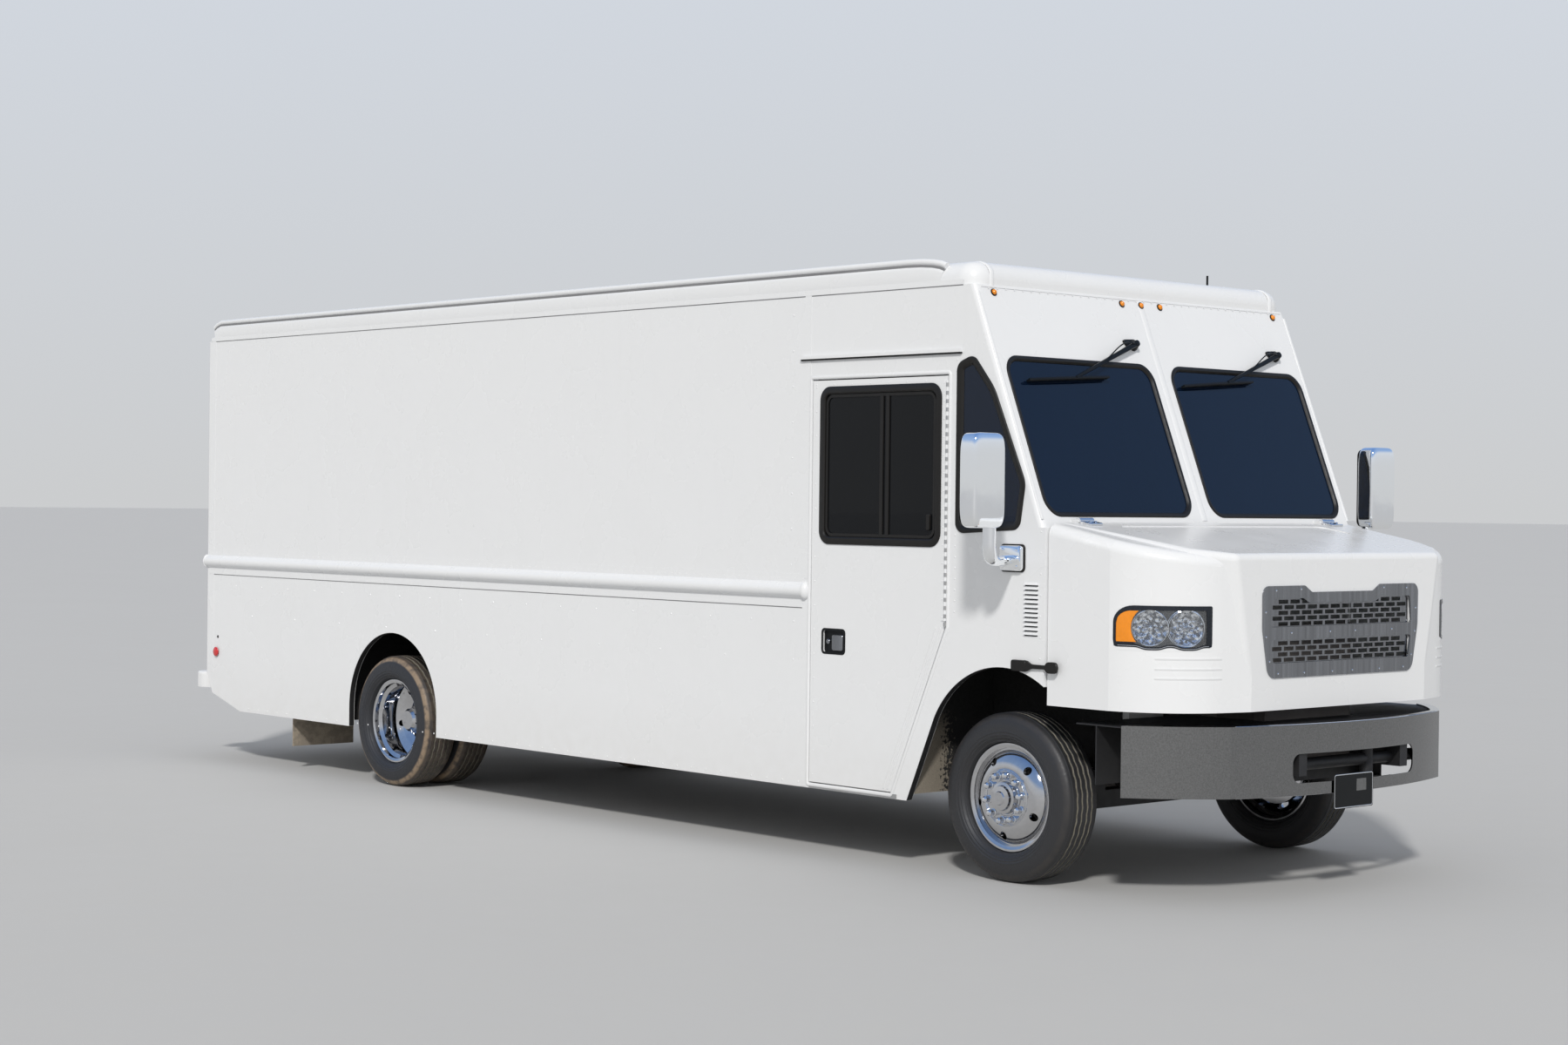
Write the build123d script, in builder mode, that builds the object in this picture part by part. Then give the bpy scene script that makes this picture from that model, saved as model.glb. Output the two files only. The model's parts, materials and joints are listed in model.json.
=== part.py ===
from build123d import *
import os
from math import cos, hypot, radians, sin, sqrt

# Walk-in step van: a long box body with a raked cab front, a short hinged nose,
# single steered front wheels and twin rear wheels.
# +X forward, +Y left, +Z up, origin on the ground below the centre of the overall length.

# Overall lengths
front_overhang = 1250
wheelbase = 5240
rear_overhang = 2530
overall_length = front_overhang + wheelbase + rear_overhang
front_x = overall_length / 2 - front_overhang
rear_x = front_x - wheelbase

# Body shell
half_width = 1219
wall = 40
inner_y = half_width - wall
skirt_z = 348
floor_z = 800
floor_thickness = 60
cap_z = 2896
roof_z = 3013
roof_thickness = 35
roof_corner = 105
roof_edge = 88
body_rear_x = rear_x - 2310
seam_x = front_x - 1341
dash_wall_x = front_x + 316
fit_gap = 0.3
move_gap = 6

# Raked face of the cab, from the cowl up to the roof
cowl_x = front_x + 283
cowl_z = 1767
face_slope = 0.397
face_foot_z = 1720
face_thickness = 35
face_return = 38
face_corner = 30

# Side doors
door_rear_x = front_x - 1312
door_front_x = front_x - 330
door_top_z = 2460
door_bottom_z = 375
door_knee_z = 1223
door_toe_x = front_x - 700
door_thickness = 35
door_window_rear_x = front_x - 1240
door_window_front_x = front_x - 385
door_window_low_z = 1622
door_window_top_z = 2412
door_window_corner = 62
glass_thickness = 12
hinge_pin_r = 6.5
hinge_stand = sqrt((hinge_pin_r + fit_gap) ** 2 - (move_gap / 2) ** 2)

# Wheels and tyres
tyre_r = 412
tyre_width = 245
tyre_bead_r = 248
rim_edge_r = 262
rim_width = 171
axle_z = tyre_r
front_wheel_y = 1022
rear_outer_wheel_y = 1085
rear_inner_wheel_y = 812
rear_disc_y = (rear_outer_wheel_y + rear_inner_wheel_y) / 2
disc_thickness = 10
spindle_r = 30
rear_spindle_r = 45
bearing_gap = 1

# King pins and steering knuckles
king_pin_y = 860
king_pin_r = 20
axle_eye_r = 45
axle_eye_height = 90
knuckle_arm = 48
knuckle_gap = 5

# Ladder frame and springs
rail_y = 432
rail_height = 230
rail_flange = 75
rail_wall = 8
rail_top_z = floor_z - floor_thickness
rail_bottom_z = rail_top_z - rail_height
frame_front_x = front_x + 1060
frame_rear_x = rear_x - 2269
spring_width = 80
spring_gap_y = 23
spring_leaf = 14
spring_leaves = 3
spring_seat_z = 472
spring_radius = 3000

# Wheel arches in the body sides
front_arch_x = front_x + 45
front_arch_z = 537
front_arch_r = 510
front_arch_toe_x = front_x - 592
rear_arch_x = rear_x + 36
rear_arch_z = 477
rear_arch_r = 495

# Nose
nose_wall = 14
nose_rear_x = dash_wall_x + move_gap
nose_half_width = half_width - 19
nose_bottom_z = 882
nose_rear_z = 1745
nose_front_z = 1610
nose_front_x = front_x + 1125
nose_shoulder_y = nose_half_width - 138
nose_cheek_y = nose_half_width - 340
nose_face_y = nose_half_width - 510
nose_bend_x = front_x + 700
hood_hinge_x = front_x + 328
hood_hinge_z = 1749
hood_hinge_y = nose_half_width - 244
hood_hinge_r = 10
hood_pin_r = 5
hood_barrel_length = 90
hood_ear = 8
hood_notch_reach = 19
pin_gap = 0.08

# Bumpers
bumper_low_z = 488
bumper_top_z = 819
bumper_plate = 8
bumper_bow = 130
bumper_corner = (nose_front_x - 5, nose_half_width - 368)
bumper_end = (front_x + 780, nose_half_width)
bumper_cheek = (front_x + 966, nose_half_width - 170)
bumper_front_x = bumper_corner[0] + bumper_bow
bumper_radius = (bumper_corner[1] ** 2 + bumper_bow**2) / (2 * bumper_bow)
horn_front_x = (
    bumper_front_x - bumper_plate - fit_gap - bumper_radius + sqrt(bumper_radius**2 - rail_y**2)
)
rear_bumper_low_z = 480
rear_bumper_top_z = 590
rear_bumper_front_x = rear_x - 2345

os.makedirs("parts", exist_ok=True)


def save(piece, name):
    """Label a finished piece and write it."""
    piece.part.label = name
    export_step(piece.part, f"parts/{name}.step")


def mirrored(piece):
    """Return the same piece on the other side of the van."""
    with BuildPart() as other:
        mirror(piece.part, about=Plane.XZ)
    return other


def face_x(z):
    """Return where the outer face of the cab front stands at a height."""
    return cowl_x + (cowl_z - z) * face_slope


# Plane of the raked face: x to the van's left, y up the slope, normal out of the glass
face_plane = Plane(
    origin=(face_x(cowl_z), 0, cowl_z),
    x_dir=(0, 1, 0),
    z_dir=(1, 0, face_slope),
)
slope_scale = hypot(1, face_slope)


def up_slope(z):
    """Return the distance up the raked face at a height."""
    return (z - cowl_z) * slope_scale


# Side of the load body, with the rear wheel arch, the chamfered tail and the rub rail
rail_low_z = 1322
rail_high_z = 1412
rub_rail_depth = 32
tail_notch_z = 582
side_rear_x = body_rear_x + wall
with BuildPart() as body_side_right:
    with BuildSketch(Plane.XZ.offset(half_width)):
        with BuildLine():
            Polyline(
                (side_rear_x, cap_z),
                (side_rear_x, tail_notch_z),
                (body_rear_x + 95, 455),
                (rear_x - 1835, skirt_z),
                (seam_x, skirt_z),
                (seam_x, cap_z),
                close=True,
            )
        make_face()
        with Locations((rear_arch_x, rear_arch_z)):
            Circle(rear_arch_r, mode=Mode.SUBTRACT)
        with Locations((rear_arch_x, rear_arch_z - 150)):
            Rectangle(2 * rear_arch_r, 300, mode=Mode.SUBTRACT)
    extrude(amount=-wall)
    with BuildSketch(Plane.YZ.offset(body_rear_x + 5)):
        with BuildLine():
            Line((-half_width, rail_low_z), (-half_width, rail_high_z))
            Line((-half_width, rail_high_z), (-half_width - 6, rail_high_z - 8))
            ThreePointArc(
                (-half_width - 6, rail_high_z - 8),
                (-half_width - rub_rail_depth, (rail_low_z + rail_high_z) / 2),
                (-half_width - 6, rail_low_z + 8),
            )
            Line((-half_width - 6, rail_low_z + 8), (-half_width, rail_low_z))
        make_face()
    extrude(amount=seam_x - body_rear_x - 15)
body_side_left = mirrored(body_side_right)
save(body_side_right, "body_side_right")
save(body_side_left, "body_side_left")


# Side door opening, with its slanted toe
door_points = [
    (door_rear_x, door_bottom_z),
    (door_toe_x, door_bottom_z),
    (door_front_x, door_knee_z),
    (door_front_x, door_top_z),
    (door_rear_x, door_top_z),
]

# Quarter window behind the raked pillar, listed from the top corner round
quarter_points = [
    (front_x - 262, 2505),
    (front_x - 262, 1694),
    (front_x + 142, 1718),
    (front_x + 176, 1930),
    (front_x - 30, 2380),
    (front_x - 165, 2540),
]
quarter_corner = 42

# Side of the cab, with the door opening, the quarter window and the front wheel arch
side_front_top_x = face_x(cap_z) - face_return
side_front_foot_x = face_x(face_foot_z) - face_return
arch_end_z = front_arch_z + sqrt(front_arch_r**2 - (dash_wall_x - front_arch_x) ** 2)
arch_turn = radians(152)
arch_start = (
    front_arch_x + front_arch_r * cos(arch_turn),
    front_arch_z + front_arch_r * sin(arch_turn),
)
drip_rail_z = 2575
with BuildPart() as cab_side_right:
    with BuildSketch(Plane.XZ.offset(half_width)):
        with BuildLine():
            Polyline(
                (dash_wall_x, arch_end_z),
                (dash_wall_x, face_foot_z),
                (side_front_foot_x, face_foot_z),
                (side_front_top_x, cap_z),
                (seam_x, cap_z),
                (seam_x, skirt_z),
                (front_arch_toe_x, skirt_z),
                arch_start,
            )
            ThreePointArc(
                arch_start,
                (front_arch_x, front_arch_z + front_arch_r),
                (dash_wall_x, arch_end_z),
            )
        make_face()
        with BuildLine():
            Polyline(*door_points, close=True)
        make_face(mode=Mode.SUBTRACT)
        with BuildLine():
            FilletPolyline(*quarter_points, radius=quarter_corner, close=True)
        make_face(mode=Mode.SUBTRACT)
    extrude(amount=-wall)
    # drip rail above the door
    with BuildSketch(Plane.XZ.offset(half_width)):
        with Locations((front_x - 818, drip_rail_z)):
            Rectangle(1156, 16)
    extrude(amount=18)
cab_side_left = mirrored(cab_side_right)
save(cab_side_right, "cab_side_right")
save(cab_side_left, "cab_side_left")

# Roof tray with rolled edges, standing on the walls
roof_front_x = face_x(cap_z)
with BuildPart() as roof:
    with BuildSketch(Plane.XY.offset(cap_z)):
        with Locations(((body_rear_x + roof_front_x) / 2, 0)):
            RectangleRounded(roof_front_x - body_rear_x, 2 * half_width, roof_corner)
    extrude(amount=roof_z - cap_z)
    fillet(roof.faces().sort_by(Axis.Z)[-1].edges(), radius=roof_edge)
    with BuildSketch(Plane.XY.offset(cap_z)):
        with Locations(((body_rear_x + roof_front_x) / 2, 0)):
            RectangleRounded(
                roof_front_x - body_rear_x - 2 * wall, 2 * inner_y, roof_corner - wall
            )
    extrude(amount=roof_z - cap_z - roof_thickness, mode=Mode.SUBTRACT)
save(roof, "roof")

# Raked front of the cab, a pressing with returned sides and two windscreen openings
screen_inner_y = 76
screen_outer_y = half_width - 63
screen_low_z = 1780
screen_top_z = 2540
screen_corner = 88
screen_width = screen_outer_y - screen_inner_y
screen_height = up_slope(screen_top_z) - up_slope(screen_low_z)
screen_mid_y = (screen_outer_y + screen_inner_y) / 2
screen_mid_v = (up_slope(screen_top_z) + up_slope(screen_low_z)) / 2
with BuildPart() as cab_front:
    with BuildSketch(Plane.XZ.offset(half_width)):
        with BuildLine():
            Polyline(
                (face_x(face_foot_z), face_foot_z),
                (face_x(cap_z), cap_z),
                (face_x(cap_z) - face_return, cap_z),
                (face_x(face_foot_z) - face_return, face_foot_z),
                close=True,
            )
        make_face()
    extrude(amount=-2 * half_width)
    outer_corners = cab_front.edges().filter_by(
        lambda e: abs(e.length - hypot(cap_z - face_foot_z, (cap_z - face_foot_z) * face_slope)) < 1
    )
    fillet(outer_corners.group_by(Axis.X)[-1], radius=face_corner)
    with BuildSketch(Plane.XZ.offset(inner_y)):
        with BuildLine():
            Polyline(
                (face_x(face_foot_z) - face_thickness, face_foot_z),
                (face_x(cap_z) - face_thickness, cap_z),
                (face_x(cap_z) - 2 * face_return, cap_z),
                (face_x(face_foot_z) - 2 * face_return, face_foot_z),
                close=True,
            )
        make_face()
    extrude(amount=-2 * inner_y, mode=Mode.SUBTRACT)
    with BuildSketch(face_plane):
        with Locations((screen_mid_y, screen_mid_v), (-screen_mid_y, screen_mid_v)):
            RectangleRounded(screen_width, screen_height, screen_corner)
    extrude(amount=-2 * face_return, mode=Mode.SUBTRACT)
    # ears and pins that carry the hood
    for side in (-1, 1):
        for end in (-1, 1):
            inner_face = end * (hood_barrel_length / 2 + fit_gap)
            with BuildSketch(Plane.XZ.offset(side * hood_hinge_y + inner_face)):
                with BuildLine():
                    Polyline(
                        (face_x(hood_hinge_z) - 12, hood_hinge_z - hood_hinge_r),
                        (hood_hinge_x, hood_hinge_z - hood_hinge_r),
                        (hood_hinge_x, hood_hinge_z + hood_hinge_r),
                        (face_x(hood_hinge_z) - 12, hood_hinge_z + hood_hinge_r),
                        close=True,
                    )
                make_face()
                with Locations((hood_hinge_x, hood_hinge_z)):
                    Circle(hood_hinge_r)
            extrude(amount=end * hood_ear)
        with BuildSketch(Plane.XZ.offset(side * hood_hinge_y - hood_barrel_length / 2 - 2)):
            with Locations((hood_hinge_x, hood_hinge_z)):
                Circle(hood_pin_r)
        extrude(amount=hood_barrel_length + 4)
save(cab_front, "cab_front")

# Windscreens and quarter panes, each set in its opening
with BuildPart() as cab_glass:
    with BuildSketch(face_plane.offset(-8)):
        with Locations((screen_mid_y, screen_mid_v), (-screen_mid_y, screen_mid_v)):
            RectangleRounded(
                screen_width - 2 * fit_gap, screen_height - 2 * fit_gap, screen_corner - fit_gap
            )
    extrude(amount=-glass_thickness)
    with BuildSketch(Plane.XZ.offset(half_width - 8)):
        with BuildLine():
            FilletPolyline(*quarter_points, radius=quarter_corner, close=True)
        make_face()
        offset(amount=-fit_gap, mode=Mode.REPLACE)
    extrude(amount=-glass_thickness)
    with BuildSketch(Plane.XZ.offset(-half_width + 8)):
        with BuildLine():
            FilletPolyline(*quarter_points, radius=quarter_corner, close=True)
        make_face()
        offset(amount=-fit_gap, mode=Mode.REPLACE)
    extrude(amount=glass_thickness)
save(cab_glass, "cab_glass")

# Wall between the engine and the cab, open over the engine and the front wheels
tunnel_y = 340
tunnel_top_z = 1260
wheelhouse_y = 600
wheelhouse_top_z = 1060
with BuildPart() as dash_wall:
    with BuildSketch(Plane.YZ.offset(dash_wall_x - wall)):
        with BuildLine():
            Polyline(
                (-inner_y, wheelhouse_top_z),
                (-wheelhouse_y, wheelhouse_top_z),
                (-wheelhouse_y, rail_top_z),
                (-tunnel_y, rail_top_z),
                (-tunnel_y, tunnel_top_z),
                (tunnel_y, tunnel_top_z),
                (tunnel_y, rail_top_z),
                (wheelhouse_y, rail_top_z),
                (wheelhouse_y, wheelhouse_top_z),
                (inner_y, wheelhouse_top_z),
                (inner_y, face_foot_z),
                (-inner_y, face_foot_z),
                close=True,
            )
        make_face()
    extrude(amount=wall)
save(dash_wall, "dash_wall")

# Floors: the load floor between the rear wheelhouses, and the cab floor round the engine
floor_front_x = dash_wall_x - wall
rear_house_half = 520
rear_house_y = 640
front_house_rear_x = front_x - 590
step_rear_x = seam_x + 21
step_front_x = front_x - 720
step_depth = 330
tunnel_rear_x = front_x - 200
with BuildPart() as floor:
    with BuildSketch(Plane.XY.offset(rail_top_z)):
        with Locations(((side_rear_x + seam_x) / 2, 0)):
            Rectangle(seam_x - side_rear_x, 2 * inner_y)
        for side in (-1, 1):
            with Locations((rear_x, side * (rear_house_y + inner_y) / 2)):
                Rectangle(2 * rear_house_half, inner_y - rear_house_y, mode=Mode.SUBTRACT)
    extrude(amount=floor_thickness)
save(floor, "floor")
with BuildPart() as cab_floor:
    with BuildSketch(Plane.XY.offset(rail_top_z)):
        with Locations(((seam_x + floor_front_x) / 2, 0)):
            Rectangle(floor_front_x - seam_x, 2 * inner_y)
        # columns: low x, high x, low y, high y of each cut, made on both sides
        floor_cuts = [
            (front_house_rear_x, floor_front_x, wheelhouse_y, inner_y),
            (step_rear_x, step_front_x, inner_y - step_depth, inner_y),
            (tunnel_rear_x, floor_front_x, 0, tunnel_y),
        ]
        for low_x, high_x, low_y, high_y in floor_cuts:
            for side in (-1, 1):
                with Locations(((low_x + high_x) / 2, side * (low_y + high_y) / 2)):
                    Rectangle(high_x - low_x, high_y - low_y, mode=Mode.SUBTRACT)
    extrude(amount=floor_thickness)
save(cab_floor, "cab_floor")

# Wheelhouses: arched boxes over the rear twins, and liners behind the front wheels
house_wall = 15
rear_house_top_z = 1110
front_house_bottom_z = 380
with BuildPart() as wheelhouses:
    for side in (-1, 1):
        with BuildSketch(Plane.XZ.offset(-side * rear_house_y)):
            with BuildLine():
                Polyline(
                    (rear_x - rear_house_half, rail_top_z),
                    (rear_x - rear_house_half, 980),
                    (rear_x - rear_house_half + 130, rear_house_top_z),
                    (rear_x + rear_house_half - 130, rear_house_top_z),
                    (rear_x + rear_house_half, 980),
                    (rear_x + rear_house_half, rail_top_z),
                    close=True,
                )
            make_face()
        extrude(amount=-side * (inner_y - rear_house_y))
        with BuildSketch(Plane.XZ.offset(-side * (rear_house_y + house_wall))):
            with BuildLine():
                Polyline(
                    (rear_x - rear_house_half + house_wall, rail_top_z),
                    (rear_x - rear_house_half + house_wall, 974),
                    (rear_x - rear_house_half + 136, rear_house_top_z - house_wall),
                    (rear_x + rear_house_half - 136, rear_house_top_z - house_wall),
                    (rear_x + rear_house_half - house_wall, 974),
                    (rear_x + rear_house_half - house_wall, rail_top_z),
                    close=True,
                )
            make_face()
        extrude(amount=-side * (inner_y - rear_house_y), mode=Mode.SUBTRACT)
        # liner behind the twins, from the house down to the skirt
        with BuildSketch(Plane.XY.offset(front_house_bottom_z)):
            with Locations(
                (rear_x - rear_house_half + house_wall / 2, side * (inner_y + rear_house_y) / 2)
            ):
                Rectangle(house_wall, inner_y - rear_house_y)
        extrude(amount=rail_top_z - front_house_bottom_z)
    for side in (-1, 1):
        mid_y = side * (inner_y + wheelhouse_y) / 2
        house_width = inner_y - wheelhouse_y
        # lid over the front wheel
        with BuildSketch(Plane.XY.offset(wheelhouse_top_z - house_wall)):
            with Locations(((front_house_rear_x + dash_wall_x) / 2, mid_y)):
                Rectangle(dash_wall_x - front_house_rear_x, house_width)
        extrude(amount=house_wall)
        # rear liner down to the skirt
        with BuildSketch(Plane.XY.offset(front_house_bottom_z)):
            with Locations((front_house_rear_x + house_wall / 2, mid_y)):
                Rectangle(house_wall, house_width)
        extrude(amount=wheelhouse_top_z - front_house_bottom_z)
        # inner side from the floor up
        with BuildSketch(Plane.XY.offset(rail_top_z)):
            with Locations(
                ((front_house_rear_x + floor_front_x) / 2, side * (wheelhouse_y + house_wall / 2))
            ):
                Rectangle(floor_front_x - front_house_rear_x, house_wall)
        extrude(amount=wheelhouse_top_z - rail_top_z)
save(wheelhouses, "wheelhouses")

# Step wells inside the side doors
step_z = 400
with BuildPart() as step_wells:
    for side in (-1, 1):
        with BuildSketch(Plane.XY.offset(step_z)):
            with Locations(((step_rear_x + step_front_x) / 2, side * (inner_y - step_depth / 2))):
                Rectangle(step_front_x - step_rear_x, step_depth)
        extrude(amount=floor_z - step_z)
        with BuildSketch(Plane.XY.offset(step_z + house_wall)):
            with Locations(
                ((step_rear_x + step_front_x) / 2, side * (inner_y - step_depth / 2 + house_wall))
            ):
                Rectangle(step_front_x - step_rear_x - 2 * house_wall, step_depth)
        extrude(amount=floor_z - step_z, mode=Mode.SUBTRACT)
save(step_wells, "step_wells")

# Engine cover inside the cab
with BuildPart() as engine_cover:
    with BuildSketch(Plane.YZ.offset(floor_front_x)):
        with Locations((0, (floor_z + tunnel_top_z) / 2 + 10)):
            Rectangle(2 * tunnel_y + 40, tunnel_top_z - floor_z + 20)
    extrude(amount=-(floor_front_x - tunnel_rear_x + 20))
    fillet(engine_cover.edges().filter_by(Axis.X).sort_by(Axis.Z)[-2:], radius=40)
    with BuildSketch(Plane.YZ.offset(floor_front_x)):
        with Locations((0, (floor_z + tunnel_top_z) / 2)):
            Rectangle(2 * tunnel_y, tunnel_top_z - floor_z)
    extrude(amount=-(floor_front_x - tunnel_rear_x), mode=Mode.SUBTRACT)
save(engine_cover, "engine_cover")

# Engine with its gearbox, one plain block resting between the rails
engine_front_x = front_x + 620
gearbox_rear_x = front_x - 750
shaft_z = 440
with BuildPart() as engine_block:
    with BuildSketch(Plane.XY.offset(520)):
        with Locations(((engine_front_x + front_x - 150) / 2, 0)):
            Rectangle(engine_front_x - front_x + 150, 600)
    extrude(amount=630)
    fillet(engine_block.edges().filter_by(Axis.X), radius=40)
    with BuildSketch(Plane.XY.offset(340)):
        with Locations(((gearbox_rear_x + front_x - 150) / 2, 0)):
            Rectangle(front_x - 150 - gearbox_rear_x, 300)
    extrude(amount=300)
    with BuildSketch(Plane.XY.offset(560)):
        with Locations((front_x + 300, 0)):
            Rectangle(120, 2 * (rail_y - rail_wall))
    extrude(amount=60)
save(engine_block, "engine_block")

# Radiator on the front cross member
radiator_z = 566
with BuildPart() as radiator:
    with BuildSketch(Plane.XY.offset(radiator_z)):
        with Locations((front_x + 900, 0)):
            Rectangle(70, 680)
    extrude(amount=700)
    with BuildSketch(Plane.YZ.offset(front_x + 865)):
        with Locations((0, radiator_z + 380)):
            Circle(250)
            Circle(235, mode=Mode.SUBTRACT)
    extrude(amount=-60)
save(radiator, "radiator")

# Propeller shaft from the gearbox to the rear axle
diff_nose_x = rear_x + 330
bearing_x = front_x - 2440
with BuildPart() as drive_shaft:
    with BuildSketch(Plane.YZ.offset(diff_nose_x)):
        with Locations((0, shaft_z)):
            Circle(45)
    extrude(amount=gearbox_rear_x - diff_nose_x)
    for flange_x, sign in ((diff_nose_x, 1), (gearbox_rear_x, -1), (bearing_x - 60, 1)):
        with BuildSketch(Plane.YZ.offset(flange_x)):
            with Locations((0, shaft_z)):
                Circle(65)
        extrude(amount=sign * 40)
    # centre bearing bracket up to its cross member
    with BuildSketch(Plane.YZ.offset(bearing_x)):
        with Locations((0, (shaft_z + rail_bottom_z + 20) / 2)):
            Rectangle(100, rail_bottom_z + 20 - shaft_z)
    extrude(amount=40)
save(drive_shaft, "drive_shaft")

# Ladder frame
spring_y = rail_y + spring_gap_y + spring_width / 2
# columns: x of the middle, half length between eyes
springs = [(front_x, 600), (rear_x, 700)]
eye_r = 28


def spring_rise(half_length, radius):
    """Return how far a spring arc has risen at its end."""
    return radius - sqrt(radius**2 - half_length**2)


spring_top_z = spring_seat_z + spring_leaves * spring_leaf
with BuildPart() as chassis_frame:
    for side in (-1, 1):
        with BuildSketch(Plane.YZ.offset(frame_rear_x)):
            with Locations((side * (rail_y - rail_flange / 2), rail_bottom_z + rail_height / 2)):
                Rectangle(rail_flange, rail_height)
            with Locations(
                (side * (rail_y - rail_flange / 2 - rail_wall), rail_bottom_z + rail_height / 2)
            ):
                Rectangle(rail_flange, rail_height - 2 * rail_wall, mode=Mode.SUBTRACT)
        extrude(amount=frame_front_x - frame_rear_x)
    # columns: x of the middle, height of the foot above the rail's bottom, depth, length
    cross_members = [
        (front_x + 900, 0, 56, 90),
        (front_x - 1000, 20, 150, 80),
        (bearing_x + 20, 20, 150, 80),
        (front_x - 3600, 20, 150, 80),
        (rear_x + 620, 20, 150, 80),
        (rear_x - 620, 20, 150, 80),
        (frame_rear_x + 60, 20, 150, 80),
    ]
    for member_x, foot, depth, length in cross_members:
        with BuildSketch(Plane.XY.offset(rail_bottom_z + foot)):
            with Locations((member_x, 0)):
                Rectangle(length, 2 * (rail_y - rail_wall))
        extrude(amount=depth)
    for middle_x, half_length in springs:
        eye_z = spring_top_z + spring_rise(half_length, spring_radius) - spring_leaf / 2
        for end in (-1, 1):
            for side in (-1, 1):
                with BuildSketch(Plane.XZ.offset(-side * rail_y)):
                    with Locations((middle_x + end * half_length, eye_z + 40)):
                        Rectangle(90, 150)
                extrude(amount=-side * spring_gap_y)
    # horns that carry the two bumpers
    for side in (-1, 1):
        with BuildSketch(Plane.YZ.offset(frame_front_x)):
            with Locations((side * (rail_y - 30), 640)):
                Rectangle(60, 130)
        extrude(amount=horn_front_x - frame_front_x)
        with BuildSketch(Plane.YZ.offset(frame_rear_x)):
            with Locations((side * (rail_y - 30), rail_bottom_z + 40)):
                Rectangle(60, 60)
        extrude(amount=rear_bumper_front_x - frame_rear_x)
save(chassis_frame, "chassis_frame")

# Leaf springs, each pack made of concentric leaves
with BuildPart() as leaf_springs:
    for middle_x, half_length in springs:
        centre_z = spring_top_z + spring_radius
        eye_z = spring_top_z + spring_rise(half_length, spring_radius) - spring_leaf / 2
        for side in (-1, 1):
            with BuildSketch(Plane.XZ.offset(-side * (spring_y - spring_width / 2))):
                for leaf in range(spring_leaves):
                    top_r = spring_radius + leaf * spring_leaf
                    low_r = top_r + spring_leaf
                    reach = half_length * (1 - 0.28 * leaf)
                    top = (reach, centre_z - sqrt(top_r**2 - reach**2))
                    low = (reach, centre_z - sqrt(low_r**2 - reach**2))
                    with BuildLine():
                        ThreePointArc(
                            (middle_x - top[0], top[1]),
                            (middle_x, centre_z - top_r),
                            (middle_x + top[0], top[1]),
                        )
                        Line((middle_x + top[0], top[1]), (middle_x + low[0], low[1]))
                        ThreePointArc(
                            (middle_x + low[0], low[1]),
                            (middle_x, centre_z - low_r),
                            (middle_x - low[0], low[1]),
                        )
                        Line((middle_x - low[0], low[1]), (middle_x - top[0], top[1]))
                    make_face()
                with Locations((middle_x - half_length, eye_z), (middle_x + half_length, eye_z)):
                    Circle(eye_r)
            extrude(amount=-side * spring_width)
save(leaf_springs, "leaf_springs")

# Front axle beam with an eye for each king pin
beam_depth = 90
eye_low_z = axle_z - axle_eye_height / 2
with BuildPart() as front_axle:
    with BuildSketch(Plane.YZ.offset(front_x - beam_depth / 2)):
        with BuildLine():
            Polyline(
                (-king_pin_y, 372),
                (-640, 372),
                (-560, 320),
                (560, 320),
                (640, 372),
                (king_pin_y, 372),
                (king_pin_y, 452),
                (620, 452),
                (560, 408),
                (-560, 408),
                (-620, 452),
                (-king_pin_y, 452),
                close=True,
            )
        make_face()
    extrude(amount=beam_depth)
    with BuildSketch(Plane.XY.offset(eye_low_z)):
        with Locations((front_x, -king_pin_y), (front_x, king_pin_y)):
            Circle(axle_eye_r)
    extrude(amount=axle_eye_height)
    with BuildSketch(Plane.XY.offset(400)):
        with Locations((front_x, -spring_y), (front_x, spring_y)):
            Rectangle(beam_depth, spring_width)
    extrude(amount=spring_seat_z - 400)
    with BuildSketch(Plane.XY.offset(300)):
        with Locations((front_x, -king_pin_y), (front_x, king_pin_y)):
            Circle(king_pin_r + bearing_gap)
    extrude(amount=200, mode=Mode.SUBTRACT)
save(front_axle, "front_axle")

# Steering knuckle: a fork on the king pin, a spindle and a steering arm
fork_low_z = eye_low_z - knuckle_gap - knuckle_arm
fork_high_z = eye_low_z + axle_eye_height + knuckle_gap
web_y = king_pin_y + axle_eye_r + knuckle_gap
web_thickness = 30
with BuildPart() as knuckle_right:
    for arm_z in (fork_low_z, fork_high_z):
        with BuildSketch(Plane.XY.offset(arm_z)):
            with Locations((front_x, -king_pin_y)):
                Circle(42)
            with Locations((front_x, -(king_pin_y + web_y + web_thickness) / 2)):
                Rectangle(84, web_y + web_thickness - king_pin_y)
        extrude(amount=knuckle_arm)
    with BuildSketch(Plane.XY.offset(fork_low_z)):
        with Locations((front_x, -web_y - web_thickness / 2)):
            Rectangle(84, web_thickness)
    extrude(amount=fork_high_z + knuckle_arm - fork_low_z)
    with BuildSketch(Plane.XY.offset(fork_low_z)):
        with Locations((front_x, -king_pin_y)):
            Circle(king_pin_r)
    extrude(amount=fork_high_z + knuckle_arm - fork_low_z)
    with BuildSketch(Plane.XZ.offset(web_y)):
        with Locations((front_x, axle_z)):
            Circle(spindle_r)
    extrude(amount=front_wheel_y + 66 - web_y)
    # steering arm, pointing back from the foot of the fork
    with BuildSketch(Plane.XY.offset(fork_low_z)):
        with Locations((front_x - 110, -web_y - 12)):
            Rectangle(150, 24)
        with Locations((front_x - 185, -web_y - 12)):
            Circle(20)
    extrude(amount=26)
knuckle_left = mirrored(knuckle_right)
save(knuckle_right, "knuckle_right")
save(knuckle_left, "knuckle_left")

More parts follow.
